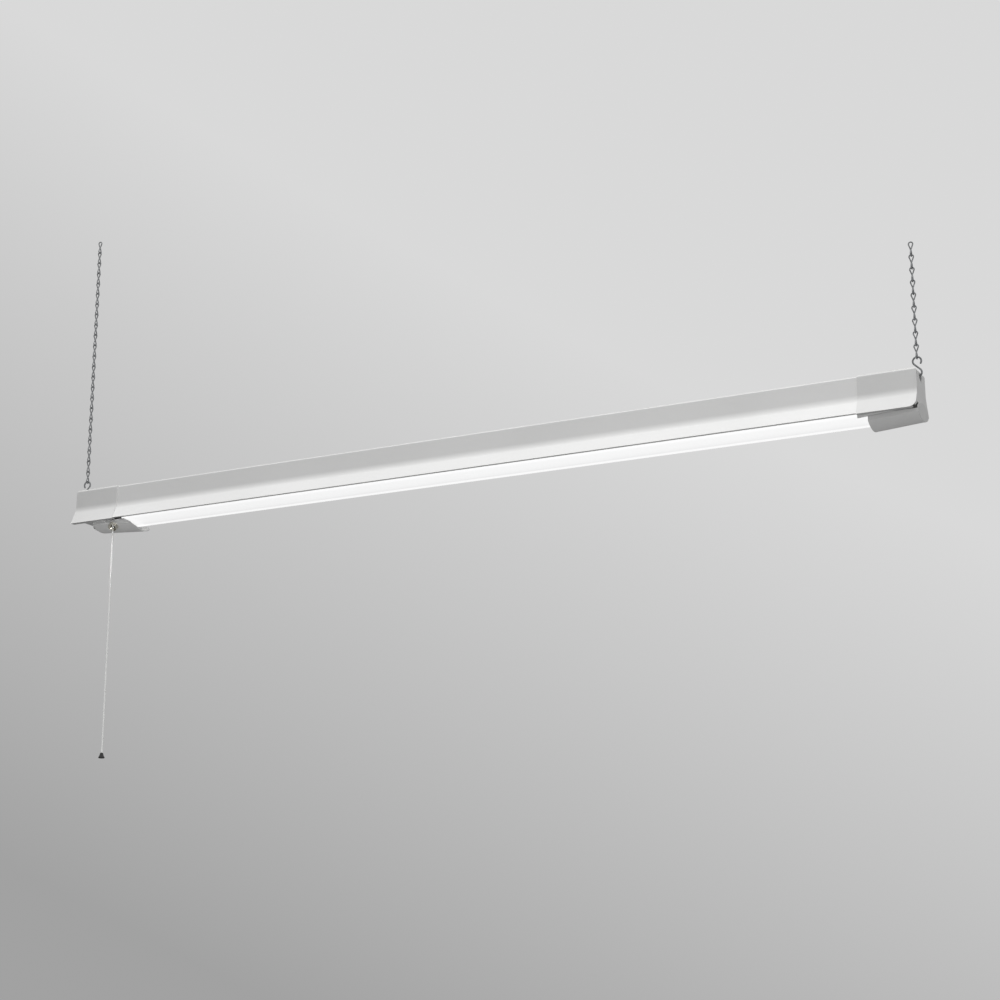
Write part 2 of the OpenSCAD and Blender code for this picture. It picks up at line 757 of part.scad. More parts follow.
// Driver and wiring
module driver_case() {
    color(white_paint) in_place() difference() {
        box(driver_x0, driver_x1, -driver_w / 2, driver_w / 2, driver_low_z, driver_top_z);
        box(driver_x0 + driver_wall, driver_x1 - driver_wall, -driver_w / 2 + driver_wall,
            driver_w / 2 - driver_wall, driver_low_z - 1, driver_top_z - driver_wall);
    }
}

module driver_lid() {
    color(white_paint) in_place() {
        box(driver_x0, driver_x1, -driver_w / 2, driver_w / 2, driver_low_z - driver_wall, driver_low_z);
        for (x = [driver_x0 + 12, driver_x1 - 12], y = [-8, 8])
            translate([x, y, driver_low_z - eps])
                cylinder(r = lid_post_r, h = board_drop + eps, $fn = round_fn);
    }
}

module driver_board() {
    color(circuit_green) in_place()
        box(driver_x0 + 6, driver_x1 - 6, -driver_w / 2 + 2, driver_w / 2 - 2, circuit_low_z, circuit_top_z);
}

module on_circuit(x, size) {
    box(x - size[0] / 2, x + size[0] / 2, -size[1] / 2, size[1] / 2, circuit_top_z, circuit_top_z + size[2]);
}

module driver_transformer() {
    color([0.75, 0.65, 0.2]) in_place() {
        on_circuit(driver_x, transformer);
        on_circuit(choke_x, choke);
    }
}

module driver_capacitors() {
    color(black_plastic) in_place() {
        for (x = big_capacitor_xs) translate([x, 0, circuit_top_z])
            cylinder(r = big_capacitor_r, h = big_capacitor_h, $fn = round_fn);
        for (x = small_capacitor_xs) translate([x, 0, circuit_top_z])
            cylinder(r = small_capacitor_r, h = small_capacitor_h, $fn = round_fn);
    }
}

module driver_screws() {
    color(nickel) in_place() for (x = [driver_x0 + 3, driver_x1 - 3])
        translate([x, 0, driver_low_z - driver_wall - 1.2]) cylinder(r = 2, h = 1.2, $fn = round_fn);
}

module terminal_block() {
    color("white") in_place() difference() {
        box(terminal_x - terminal_len / 2, terminal_x + terminal_len / 2, -terminal_w / 2, terminal_w / 2,
            terminal_low_z, -sheet);
        for (i = [-1:1]) translate([terminal_x + i * 10, 0, terminal_low_z - 1])
            cylinder(r = 2, h = 6, $fn = round_fn);
    }
}

module terminal_screws() {
    color(nickel) in_place() for (i = [-1:1])
        translate([terminal_x + i * 10, 0, terminal_low_z + 1]) cylinder(r = 1.9, h = 4, $fn = round_fn);
}

module supply_wires() {
    from_x = terminal_x + terminal_len / 2;
    color("black") in_place() for (s = [-1, 1])
        route_tube([[from_x, s * 4, -9], [from_x + 4, s * 4, -9], [from_x + 14, s * 6, -12],
                    [driver_x0 - 14, s * 5, -14], [driver_x0 - 4, s * 4, -14], [driver_x0, s * 4, -14]],
                   wire_r, tube_sides);
}

module switch_wires() {
    to_x = terminal_x - terminal_len / 2;
    lid_s = body_s + body_len + lid_wall;
    color([0.7, 0.1, 0.1]) in_place() for (s = [-1, 1])
        route_tube([[switch_x, on_axis_y(lid_s) + s * 3 * cos(switch_tilt),
                     on_axis_z(lid_s) - s * 3 * sin(switch_tilt)],
                    [switch_x, on_axis_y(lid_s + 4) + s * 3 * cos(switch_tilt),
                     on_axis_z(lid_s + 4) - s * 3 * sin(switch_tilt)],
                    [switch_x + 6, s * 4 + 2, -20], [to_x - 24, s * 4, -14], [to_x - 5, s * 4, -9],
                    [to_x, s * 4, -9]],
                   wire_r, tube_sides);
}

module led_wires() {
    color("white") in_place() for (s = [-1, 1])
        route_tube([[driver_x1, s * 3, -12], [driver_x1 + 5, s * 3, -12], [driver_x1 + 22, s * 3, -16],
                    [driver_x1 + 38, s * 3, -26], [wire_hole_x, s * 3, -36],
                    [wire_hole_x, s * 3, -tray_drop]],
                   wire_r, tube_sides);
}

module ground_screw() {
    color([0.2, 0.5, 0.25]) in_place() translate([terminal_x - 34, 9, -sheet]) rotate([180, 0, 0]) {
        cylinder(r = 3.2, h = 1.6, $fn = round_fn);
        cylinder(r = 1.6, h = 5, $fn = round_fn);
    }
}

module cord_bushing() {
    color(black_plastic) in_place() translate([-end_x, 0, -inlet_drop]) rotate([0, 90, 0]) difference() {
        union() {
            translate([0, 0, -2]) cylinder(r = inlet_flange_r, h = 2, $fn = round_fn);
            translate([0, 0, -eps]) cylinder(r = inlet_neck_r, h = 8, $fn = round_fn);
            translate([0, 0, cap_end_wall + 0.1]) cylinder(r = inlet_neck_r + 0.6, h = 1.2, $fn = round_fn);
        }
        translate([0, 0, -3]) cylinder(r = inlet_r, h = 14, $fn = round_fn);
    }
}

// Hooks and chains
module wire_arc(r, wire_d, from, sweep) {
    rotate([90, 0, 0]) rotate([0, 0, from])
        rotate_extrude(angle = sweep, $fn = 72) translate([r, 0]) circle(d = wire_d, $fn = 32);
}

module s_hook(side) {
    tangent_x = hook_r * cos(hook_lean);
    tangent_z = hook_r * sin(hook_lean);
    in_place() translate([side * hang_x, 0, 0]) rotate([0, 0, side < 0 ? 180 : 0]) {
        translate([0, 0, hook_low_z]) wire_arc(hook_r, hook_wire_d, 178, 182 + hook_lean - 0.4);
        translate([0, 0, hook_high_z]) wire_arc(hook_r, hook_wire_d, -40, 220 + hook_lean - 0.4);
        translate([tangent_x, 0, hook_low_z + tangent_z]) {
            sphere(d = hook_wire_d * joint_ball, $fn = 32);
            rotate([0, -hook_lean, 0]) {
                translate([0, 0, joint_gap])
                    cylinder(d = hook_wire_d, h = hook_stem - 2 * joint_gap, $fn = 32);
                translate([0, 0, hook_stem]) sphere(d = hook_wire_d * joint_ball, $fn = 32);
            }
        }
    }
}

module s_hook_right() {
    color(zinc) s_hook(1);
}

module s_hook_left() {
    color(zinc) s_hook(-1);
}

leg_lean = 17;
leg_low_z = 0.3;
leg_len = (link_half - link_r - link_r * sin(leg_lean) - leg_low_z) / cos(leg_lean);
waist_r = 1.75;

module link_loop() {
    translate([0, 0, link_half - link_r]) {
        wire_arc(link_r, chain_wire_d, -leg_lean + 0.5, 180 + 2 * leg_lean - 1);
        for (s = [-1, 1])
            translate([s * link_r * cos(leg_lean), 0, -link_r * sin(leg_lean)]) {
                sphere(d = chain_wire_d * joint_ball, $fn = 32);
                rotate([0, s * leg_lean + 180, 0]) translate([0, 0, joint_gap])
                    cylinder(d = chain_wire_d, h = leg_len - joint_gap, $fn = 32);
            }
    }
}

module link(x, z) {
    translate([x, 0, z]) {
        link_loop();
        rotate([180, 0, 90]) link_loop();
        sphere(r = waist_r, $fn = 32);
    }
}

module chain_left() {
    color(zinc) in_place() for (i = [0:left_links - 2]) link(-hang_x, link_z(i));
}

module chain_right() {
    color(zinc) in_place() for (i = [0:right_links - 2]) link(hang_x, link_z(i));
}

module top_link_left() {
    color(zinc) in_place() link(-hang_x, link_z(left_links - 1));
}

module top_link_right() {
    color(zinc) in_place() link(hang_x, link_z(right_links - 1));
}

housing();
end_cap_left();
end_cap_right();
hanger_bracket_left();
hanger_bracket_right();
cap_screws();
led_tray();
tray_posts();
tray_screws();
led_board_left();
led_board_right();
leds();
lens();
end_cover_right();
switch_cover();
switch_washer();
switch_bell();
switch_nipple();
switch_body();
switch_lid();
switch_pin();
switch_drum();
switch_spring();
switch_contacts();
driver_case();
driver_lid();
driver_board();
driver_transformer();
driver_capacitors();
driver_screws();
terminal_block();
terminal_screws();
supply_wires();
switch_wires();
led_wires();
ground_screw();
cord_bushing();
s_hook_left();
s_hook_right();
chain_left();
chain_right();
top_link_left();
top_link_right();
cord_bead();
pull_cord();
cord_knob();
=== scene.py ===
"""Looks of a four-foot linear pendant light on two chains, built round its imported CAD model.

The file is laid out as a Blender add-on: settings hold the sizes and colours, one operator
makes each piece or group of pieces, and a panel in the sidebar lists them. Everything is in
metres, in the frame of the CAD model: X along the lamp, -Y to its front, +Z up.
"""

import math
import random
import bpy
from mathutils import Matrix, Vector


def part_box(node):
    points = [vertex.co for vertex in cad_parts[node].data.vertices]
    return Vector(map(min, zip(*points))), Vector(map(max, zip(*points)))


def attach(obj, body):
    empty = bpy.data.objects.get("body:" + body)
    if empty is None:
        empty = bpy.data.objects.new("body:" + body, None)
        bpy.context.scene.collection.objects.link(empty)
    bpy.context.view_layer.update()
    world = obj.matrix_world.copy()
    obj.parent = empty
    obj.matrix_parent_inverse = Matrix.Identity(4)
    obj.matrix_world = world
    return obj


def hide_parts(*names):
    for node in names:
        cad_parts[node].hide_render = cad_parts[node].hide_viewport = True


bl_info = {
    "name": "Linear Pendant Light",
    "version": (1, 0, 0),
    "blender": (4, 5, 0),
    "location": "View3D > Sidebar > Pendant",
    "description": "Builds the finished pieces of a linear pendant light around its CAD frame",
    "category": "Object",
}

import bmesh
import bpy
from mathutils import Matrix, Vector

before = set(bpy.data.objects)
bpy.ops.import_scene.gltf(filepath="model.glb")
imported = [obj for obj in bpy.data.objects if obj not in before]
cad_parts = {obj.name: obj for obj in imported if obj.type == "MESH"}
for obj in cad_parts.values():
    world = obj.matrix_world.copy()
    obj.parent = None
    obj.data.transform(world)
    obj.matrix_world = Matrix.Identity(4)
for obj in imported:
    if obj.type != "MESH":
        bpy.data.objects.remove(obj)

MM = 0.001
LAMP = "lamp"

# Places that are read from the CAD model

TOP_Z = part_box("housing")[1].z
KNOB_FOOT_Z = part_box("cord_knob")[0].z
BEAD_LOW, BEAD_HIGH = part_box("cord_bead")
BEAD_CENTRE = (BEAD_LOW + BEAD_HIGH) / 2
LINK_LOW, LINK_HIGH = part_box("top_link_right")
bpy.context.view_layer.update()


# Settings

def length_setting(name, description, default, low, high):
    """A length in metres."""
    return bpy.props.FloatProperty(
        name=name, description=description, default=default, min=low, max=high,
        unit="LENGTH", subtype="DISTANCE", precision=5,
    )


def colour_setting(name, description, default):
    """A linear colour."""
    return bpy.props.FloatVectorProperty(
        name=name, description=description, default=default, min=0, max=1, size=3, subtype="COLOR",
    )


class PendantSizes(bpy.types.PropertyGroup):
    """Sizes of the finished pieces."""

    edge_round: length_setting("Edge rounding", "Rounding of moulded edges", 0.3 * MM, 0.05 * MM, MM)
    fold_growth: length_setting("Fold", "Radius that the folds gain", 13.5 * MM, 0, 20 * MM)
    chain_wire: length_setting("Chain wire", "Diameter of the chain wire", 1.6 * MM, MM, 2 * MM)
    chain_pitch: length_setting("Chain pitch", "Distance from link to link", 16 * MM, 12 * MM, 20 * MM)
    link_radius: length_setting("Link loop", "Radius of a link's loops", 2.6 * MM, 2 * MM, 4 * MM)
    hook_wire: length_setting("Hook wire", "Diameter of the hook wire", 2.2 * MM, MM, 3 * MM)
    hook_radius: length_setting("Hook loop", "Radius of the hook's loops", 5.1 * MM, 4 * MM, 7 * MM)
    hook_span: length_setting("Hook span", "Distance between the loops' centres", 14 * MM, 12 * MM, 18 * MM)
    cord_diameter: length_setting("Cord", "Diameter of the pull cord", 2.4 * MM, MM, 4 * MM)
    cord_above: length_setting("Cord top", "Height of the start over the bead's middle", 7 * MM, 0, 10 * MM)
    cord_below: length_setting("Cord end", "Drop from the bead's middle to the end", 316 * MM, 0.1, 0.5)
    switch_tilt: bpy.props.FloatProperty(
        name="Switch tilt", description="Tilt of the pull switch from the vertical",
        default=math.radians(40), min=0, max=math.radians(60), subtype="ANGLE", unit="ROTATION",
    )


class PendantColours(bpy.types.PropertyGroup):
    """Colours of the finishes."""

    paint: colour_setting("White paint", "Powder coat of the housing", (0.83, 0.83, 0.825))
    cap: colour_setting("End caps", "Moulded end caps", (0.74, 0.74, 0.735))
    cover: colour_setting("Covers", "Trough covers under the caps", (0.68, 0.68, 0.675))
    lens: colour_setting("Lens", "Opal diffuser", (0.55, 0.553, 0.556))
    glow: colour_setting("Lens glow", "Colour of the lit diffuser", (1.0, 1.0, 1.0))
    zinc: colour_setting("Zinc wire", "Chains and hooks", (0.38, 0.39, 0.40))
    bracket: colour_setting("Bracket steel", "Hanger brackets", (0.52, 0.53, 0.54))
    nickel: colour_setting("Nickel", "Bell, bead and screws", (0.78, 0.76, 0.69))
    cord: colour_setting("Pull cord", "Braided cord", (0.98, 0.98, 0.97))
    knob: colour_setting("Knob", "Cord knob and bushing", (0.010, 0.010, 0.011))
    floor: colour_setting("Floor", "Pale floor", (0.70, 0.70, 0.70))


def sizes():
    """The scene's size settings."""
    return bpy.context.scene.pendant_sizes


def colours():
    """The scene's colour settings."""
    return bpy.context.scene.pendant_colours


# Node groups that several finishes share

GREY = (0.8, 0.8, 0.8, 1)
# grey of the dust film, which is also painted shade on lit tops
DUST_AND_SHADE_GREY = (0.48, 0.475, 0.465, 1)
EDGE_MARK = "worn_edge"
BROAD_SHARE = 0.06  # scale of the uneven gloss, as a share of the fine relief's


def new_group(name, inputs, outputs):
    """A shader node group with its sockets: rows of name, socket type and default."""
    group = bpy.data.node_groups.new(name, "ShaderNodeTree")
    for label, kind, default in inputs:
        socket = group.interface.new_socket(label, in_out="INPUT", socket_type="NodeSocket" + kind)
        socket.default_value = default
    for label, kind in outputs:
        group.interface.new_socket(label, in_out="OUTPUT", socket_type="NodeSocket" + kind)
    entry = group.nodes.new("NodeGroupInput")
    leave = group.nodes.new("NodeGroupOutput")
    return group, entry, leave


def add_node(tree, kind, **values):
    """A node with its options and its inputs' constants; a name with a capital is a socket."""
    node = tree.nodes.new("ShaderNode" + kind)
    for key, value in values.items():
        if key[0].isupper():
            node.inputs[key.replace("_", " ")].default_value = value
        else:
            setattr(node, key, value)
    return node


def feed(tree, amount, socket):
    """Links a socket to the amount where that is a socket too, and else sets it to the amount."""
    if isinstance(amount, bpy.types.NodeSocket):
        tree.links.new(amount, socket)
    else:
        socket.default_value = amount


def own_noise(tree, scale, detail):
    """Noise in the piece's own coordinates; the scale is a number or a socket."""
    where = add_node(tree, "TexCoord")
    noise = add_node(tree, "TexNoise", Detail=detail)
    feed(tree, scale, noise.inputs["Scale"])
    tree.links.new(where.outputs["Object"], noise.inputs["Vector"])
    return noise.outputs[0]


def normal_height(tree):
    """The upward part of the surface's normal."""
    shape = add_node(tree, "NewGeometry")
    split = add_node(tree, "SeparateXYZ")
    tree.links.new(shape.outputs["Normal"], split.inputs[0])
    return split.outputs["Z"]


def mixed(tree, share, first, second):
    """A colour mix; first and second are colours or sockets."""
    mix = add_node(tree, "Mix", data_type="RGBA")
    for place, amount in ((0, share), (6, first), (7, second)):
        feed(tree, amount, mix.inputs[place])
    return mix.outputs[2]


def remap(tree, value, low, high, to_low, to_high):
    """Value from low..high to to_low..to_high, clamped; the last two may be sockets."""
    node = add_node(tree, "MapRange", clamp=True)
    for place, amount in enumerate((value, low, high, to_low, to_high)):
        feed(tree, amount, node.inputs[place])
    return node.outputs[0]


def combine(tree, operation, first, second):
    """A sum, product or other figure of two amounts, each a number or a socket."""
    node = add_node(tree, "Math", operation=operation)
    feed(tree, first, node.inputs[0])
    feed(tree, second, node.inputs[1])
    return node.outputs[0]


def blend_group(group, entry, leave, second, *masks):
    """Ends a group: its colour gives way to the second one where the masks' product is high."""
    mask = masks[0]
    for more in masks[1:]:
        mask = combine(group, "MULTIPLY", mask, more)
    colour = mixed(group, mask, entry.outputs["Colour"], entry.outputs[second])
    group.links.new(colour, leave.inputs["Colour"])


def group_of_mottle():
    """Slow colour variation over a surface."""
    group, entry, leave = new_group(
        "surface_mottle",
        [("Colour", "Color", GREY), ("Second", "Color", GREY), ("Scale", "Float", 20.0)],
        [("Colour", "Color")],
    )
    noise = own_noise(group, entry.outputs["Scale"], 5)
    blend_group(group, entry, leave, "Second", remap(group, noise, 0.35, 0.7, 0.0, 1.0))
    return group


def group_of_grain():
    """Fine relief and uneven gloss."""
    group, entry, leave = new_group(
        "surface_grain",
        [("Scale", "Float", 900.0), ("Smooth", "Float", 0.3), ("Rough", "Float", 0.5)],
        [("Roughness", "Float"), ("Height", "Float")],
    )
    fine = own_noise(group, entry.outputs["Scale"], 3)
    broad = own_noise(group, combine(group, "MULTIPLY", entry.outputs["Scale"], BROAD_SHARE), 4)
    rough = remap(group, broad, 0.3, 0.7, entry.outputs["Smooth"], entry.outputs["Rough"])
    group.links.new(rough, leave.inputs["Roughness"])
    group.links.new(fine, leave.inputs["Height"])
    return group


def group_of_dust_and_top_shade():
    """A thin film of dust on what faces up; where it is strong it is also painted shade that dims the lit
    top faces and top edges.
    """
    group, entry, leave = new_group(
        "dust_and_top_shade",
        [("Colour", "Color", GREY), ("Dust and shade", "Color", DUST_AND_SHADE_GREY), ("Amount", "Float", 0.2)],
        [("Colour", "Color")],
    )
    # what faces up, rounded top edges too, takes the film: dust, and with large amounts painted shade over
    # their lit highlight
    up = remap(group, normal_height(group), 0.48, 0.68, 0.0, 1.0)
    patches = remap(group, own_noise(group, 35.0, 6), 0.3, 0.75, 0.72, 1.0)
    blend_group(group, entry, leave, "Dust and shade", up, patches, entry.outputs["Amount"])
    return group


def group_of_edge_wear():
    """Rubbed edges: the rounded edges of a piece carry the attribute that this reads."""
    group, entry, leave = new_group(
        "edge_wear",
        [("Colour", "Color", GREY), ("Worn", "Color", GREY), ("Amount", "Float", 0.5)],
        [("Colour", "Color")],
    )
    edge = add_node(group, "Attribute", attribute_name=EDGE_MARK)
    patches = remap(group, own_noise(group, 140.0, 5), 0.35, 0.62, 0.2, 1.0)
    blend_group(group, entry, leave, "Worn", edge.outputs["Fac"], patches, entry.outputs["Amount"])
    return group


def group_of_painted_underside_shade():
    """Painted shade on what faces down: there the colour gives way to a darker one, so that the turned-in
    lips look shaded.
    """
    group, entry, leave = new_group(
        "painted_underside_shade",
        [("Colour", "Color", GREY), ("Bare", "Color", GREY), ("Amount", "Float", 0.8)],
        [("Colour", "Color")],
    )
    down = remap(group, normal_height(group), -1.0, -0.8, 1.0, 0.0)
    blend_group(group, entry, leave, "Bare", down, entry.outputs["Amount"])
    return group


GROUP_MAKERS = {
    "painted_underside_shade": group_of_painted_underside_shade,
    "surface_mottle": group_of_mottle,
    "surface_grain": group_of_grain,
    "dust_and_top_shade": group_of_dust_and_top_shade,
    "edge_wear": group_of_edge_wear,
}


def shared_group(tree, name, **values):
    """A shared node group placed in a material, built the first time it is asked for."""
    group = bpy.data.node_groups.get(name) or GROUP_MAKERS[name]()
    node = tree.nodes.new("ShaderNodeGroup")
    node.node_tree = group
    for key, value in values.items():
        node.inputs[key].default_value = value
    return node


# Finishes

COAT_ROUGHNESS = 0.15
UNDERSIDE_SHADE = 0.3  # colour of the painted shade on what faces down, as a share of the paint's
RELIEF = 0.01 * MM  # depth of a finish's grain, where it names no other
LENS_HALF = 20 * MM  # from the lens's middle to where its glow no longer changes
LENS_GLOW = 0.74

# Rows of place, from the lens's middle to LENS_HALF as 0 to 1, and glow there
LENS_GLOW_STEPS = ((0.14, 1.0), (0.27, 0.8), (0.38, 0.86), (0.6, 0.89), (0.88, 0.9), (0.96, 1.0))

# marks the strands' crests; the grooves between them get painted shade
BRAID_MARK = "braid_strand"


def shade(colour, factor=1.0):
    """The colour times a factor, with its alpha."""
    return (*[min(1.0, c * factor) for c in colour], 1.0)


def new_material(name, metallic=0.0, coat=0.0, specular=0.5):
    """A material whose shader has these constants."""
    material = bpy.data.materials.new(name)
    material.use_nodes = True
    shader = material.node_tree.nodes["Principled BSDF"]
    shader.inputs["Metallic"].default_value = metallic
    shader.inputs["Coat Weight"].default_value = coat
    shader.inputs["Coat Roughness"].default_value = COAT_ROUGHNESS
    shader.inputs["Specular IOR Level"].default_value = specular
    return material, material.node_tree, shader


def add_bump(tree, shader, height, distance):
    """Relief as deep as the distance, from a height of 0 to 1."""
    bump = add_node(tree, "Bump", Strength=1.0, Distance=distance)
    tree.links.new(height, bump.inputs["Height"])
    tree.links.new(bump.outputs["Normal"], shader.inputs["Normal"])


def mottled(tree, colour, second, scale):
    """A colour that varies slowly towards itself times the second factor."""
    group = shared_group(tree, "surface_mottle", Colour=shade(colour), Second=shade(colour, second),
                         Scale=scale)
    return group.outputs["Colour"]


def add_gloss(tree, shader, scale, rough):
    """Roughness that varies over the surface; returns the fine relief that goes with it."""
    grain = shared_group(tree, "surface_grain", Scale=scale, Smooth=rough[0], Rough=rough[1])
    tree.links.new(grain.outputs["Roughness"], shader.inputs["Roughness"])
    return grain.outputs["Height"]


def finish(name, colour, second=0.94, mottle=18.0, rough=(0.35, 0.5), grain=900.0, relief=RELIEF,
           metallic=0.0, coat=0.0, dust_and_shade=0.15, wear=0.25, worn=1.12, underside_shade=0.0):
    """A moulded, painted or plated finish: mottle, grain, rubbed edges, a little dust and, if asked for,
    painted shade on what faces down.

    Second and worn are factors on the colour, rough is the least and greatest roughness, and
    the dust, wear and underside amounts say how strongly those films show. A strong dust film is
    partly painted shade that dims the lit top faces and top edges.
    """
    found = bpy.data.materials.get(name)
    if found:
        return found
    material, tree, shader = new_material(name, metallic, coat)
    edges = shared_group(tree, "edge_wear", Worn=shade(colour, worn), Amount=wear)
    last = shared_group(tree, "dust_and_top_shade", Amount=dust_and_shade)
    tree.links.new(mottled(tree, colour, second, mottle), edges.inputs["Colour"])
    tree.links.new(edges.outputs["Colour"], last.inputs["Colour"])
    # painted shade: what faces down takes a darker colour
    if underside_shade:
        dust_shaded = last
        last = shared_group(tree, "painted_underside_shade", Bare=shade(colour, UNDERSIDE_SHADE), Amount=underside_shade)
        tree.links.new(dust_shaded.outputs["Colour"], last.inputs["Colour"])
    tree.links.new(last.outputs["Colour"], shader.inputs["Base Color"])
    add_bump(tree, shader, add_gloss(tree, shader, grain, rough), relief)
    return material


def paint_finish():
    # the strong dust film is partly painted shade on the lit top and top edges; the underside colour is
    # painted shade
    return finish("white_powder_coat", colours().paint, second=0.97, mottle=9.0, rough=(0.34, 0.46),
                  grain=1400.0, relief=0.012 * MM, dust_and_shade=0.95, worn=0.9, underside_shade=0.85)


def cap_finish():
    # the strong dust film is partly painted shade on the lit top and top edges; the underside colour is
    # painted shade
    return finish("satin_cap_plastic", colours().cap, second=0.96, mottle=25.0, rough=(0.38, 0.5),
                  grain=2600.0, relief=0.008 * MM, dust_and_shade=0.95, worn=0.95, underside_shade=0.55)


def cover_finish():
    return finish("matt_cover_plastic", colours().cover, second=0.95, mottle=30.0, rough=(0.45, 0.6),
                  grain=2600.0, relief=0.012 * MM, wear=0.4)


def zinc_finish():
    return finish("zinc_wire_finish", colours().zinc, second=0.62, mottle=420.0, rough=(0.22, 0.45),
                  grain=1800.0, relief=0.02 * MM, metallic=0.85, dust_and_shade=0.3, wear=0.0)


def bracket_finish():
    return finish("zinc_plated_steel", colours().bracket, second=0.8, mottle=160.0, rough=(0.28, 0.45),
                  metallic=0.9, dust_and_shade=0.2, wear=0.5, worn=1.3)


def nickel_finish():
    return finish("nickel_plate", colours().nickel, second=0.9, mottle=120.0, rough=(0.12, 0.24),
                  grain=700.0, relief=0.004 * MM, metallic=1.0, dust_and_shade=0.1, wear=0.3)


def knob_finish():
    return finish("black_moulding", colours().knob, second=0.7, mottle=200.0, rough=(0.16, 0.3),
                  grain=2200.0, relief=0.004 * MM, coat=0.4, dust_and_shade=0.1, wear=0.3, worn=3.0)


def opal_finish():
    """The lit diffuser: a glossy opal skin whose glow is a little lower at the flanks."""
    material, tree, shader = new_material("opal_diffuser")
    tree.links.new(mottled(tree, colours().lens, 0.97, 12.0), shader.inputs["Base Color"])
    where = add_node(tree, "TexCoord")
    split = add_node(tree, "SeparateXYZ")
    tree.links.new(where.outputs["Object"], split.inputs[0])
    aside = combine(tree, "ABSOLUTE", split.outputs["Y"], 0.0)
    ramp = add_node(tree, "ValToRGB")
    tree.links.new(combine(tree, "DIVIDE", aside, LENS_HALF), ramp.inputs[0])
    points = ramp.color_ramp.elements
    points[0].color = (1, 1, 1, 1)
    for position, level in LENS_GLOW_STEPS:
        points.new(position).color = (level, level, level, 1)
    glow = add_node(tree, "Mix", data_type="RGBA", blend_type="MULTIPLY")
    glow.inputs[0].default_value = 1.0
    glow.inputs[6].default_value = shade(colours().glow)
    tree.links.new(ramp.outputs["Color"], glow.inputs[7])
    tree.links.new(glow.outputs[2], shader.inputs["Emission Color"])
    shader.inputs["Emission Strength"].default_value = LENS_GLOW
    lines = add_node(tree, "TexWave", wave_type="BANDS", bands_direction="Y", Scale=260.0, Distortion=0.0)
    tree.links.new(where.outputs["Object"], lines.inputs["Vector"])
    height = add_gloss(tree, shader, 600.0, (0.22, 0.32))
    add_bump(tree, shader, combine(tree, "ADD", lines.outputs["Fac"], height), RELIEF)
    return material


def cord_finish():
    """White braid with painted shade between the strands that the mesh marks: the grooves' colour is darker.
    """
    material, tree, shader = new_material("white_braid", specular=0.3)
    shader.inputs["Sheen Weight"].default_value = 0.35
    shader.inputs["Sheen Roughness"].default_value = 0.5
    tone = mottled(tree, colours().cord, 0.95, 300.0)
    strand = add_node(tree, "Attribute", attribute_name=BRAID_MARK)
    # painted shade: the grooves between the strands get a darker colour
    groove_shaded_braid = mixed(tree, strand.outputs["Fac"], shade(colours().cord, 0.9), tone)
    tree.links.new(groove_shaded_braid, shader.inputs["Base Color"])
    add_bump(tree, shader, add_gloss(tree, shader, 5200.0, (0.6, 0.8)), 0.03 * MM)
    return material


# Meshes

WELD = 0.002 * MM  # vertices nearer than this are joined
SLIVER = 0.001 * MM  # shorter edges are dropped
FLAT_ANGLE = 0.5  # degrees; flatter edges are dissolved
FLAT_BLEND = 30  # degrees; rounded edges bend less than this from face to face
ROUND_SEGMENTS = 2
CURVE_STEPS = 3
POLE_RADIUS = 0.0001 * MM  # smaller rings of a lathe are one point
END_TURNS = (28, 54, 76)  # degrees over a rounded wire end

# The folds where the sides begin to flare, as they are in the CAD model

FLARE = math.radians(26)
FOLD_CENTRE_Y = 25 * MM
FOLD_CENTRE_DROP = 26.5 * MM
FOLD_LEAST = 6.5 * MM  # a little less than the folds' inner radius
FOLD_MOST = 8.9 * MM  # a little more than their outer radius, over the caps
FOLD_SLACK = 0.01  # radians


def new_object(name, data):
    """A new object in the scene."""
    made = bpy.data.objects.new(name, data)
    bpy.context.scene.collection.objects.link(made)
    return made


def object_from(name, mesh):
    """A new object in the scene from a bmesh, which is freed."""
    data = bpy.data.meshes.new(name)
    mesh.to_mesh(data)
    mesh.free()
    return new_object(name, data)


def mesh_piece(name, mesh, body, nodes, material, edge_angle, flat_faces=False):
    """Finishes a bmesh as a piece that stands for CAD nodes and rides on a body.

    Edges of more than edge_angle degrees stay sharp. With flat_faces the large faces keep their
    own normals and only the rounded edges blend.
    """
    limit = math.radians(edge_angle)
    bmesh.ops.recalc_face_normals(mesh, faces=mesh.faces)
    for face in mesh.faces:
        face.smooth = True
    for edge in mesh.edges:
        edge.smooth = edge.is_manifold and edge.calc_face_angle(0) < limit
    piece = object_from(name, mesh)
    piece.data.materials.append(material)
    if flat_faces:
        weights = piece.modifiers.new("flat_faces", "WEIGHTED_NORMAL")
        weights.mode = "FACE_AREA"
        weights.weight = 100
        weights.keep_sharp = True
    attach(piece, body)
    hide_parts(*nodes)
    return piece


def rounded_piece(name, node, material, width, sharp_angle, folded=False):
    """A piece of the lamp with a CAD node's shape; edges over sharp_angle degrees are rounded."""
    mesh = rounded_copy(node, width, sharp_angle, folded)
    mesh_piece(name, mesh, LAMP, [node], material, FLAT_BLEND, flat_faces=True)


def dress(node, material):
    """Gives a CAD node that stays its finish."""
    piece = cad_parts[node]
    piece.data.materials.clear()
    piece.data.materials.append(material)


def add_rounding(mesh, width, sharp_angle):
    """Rounds the sharp edges and marks the new faces as rubbed edges."""
    mark = mesh.faces.layers.float.get(EDGE_MARK) or mesh.faces.layers.float.new(EDGE_MARK)
    sharp = [edge for edge in mesh.edges
             if edge.is_manifold and edge.calc_face_angle(0) > math.radians(sharp_angle)]
    made = bmesh.ops.bevel(mesh, geom=sharp, offset=width, segments=ROUND_SEGMENTS, profile=0.5,
                           affect="EDGES", clamp_overlap=True)
    for face in made["faces"]:
        face[mark] = 1.0


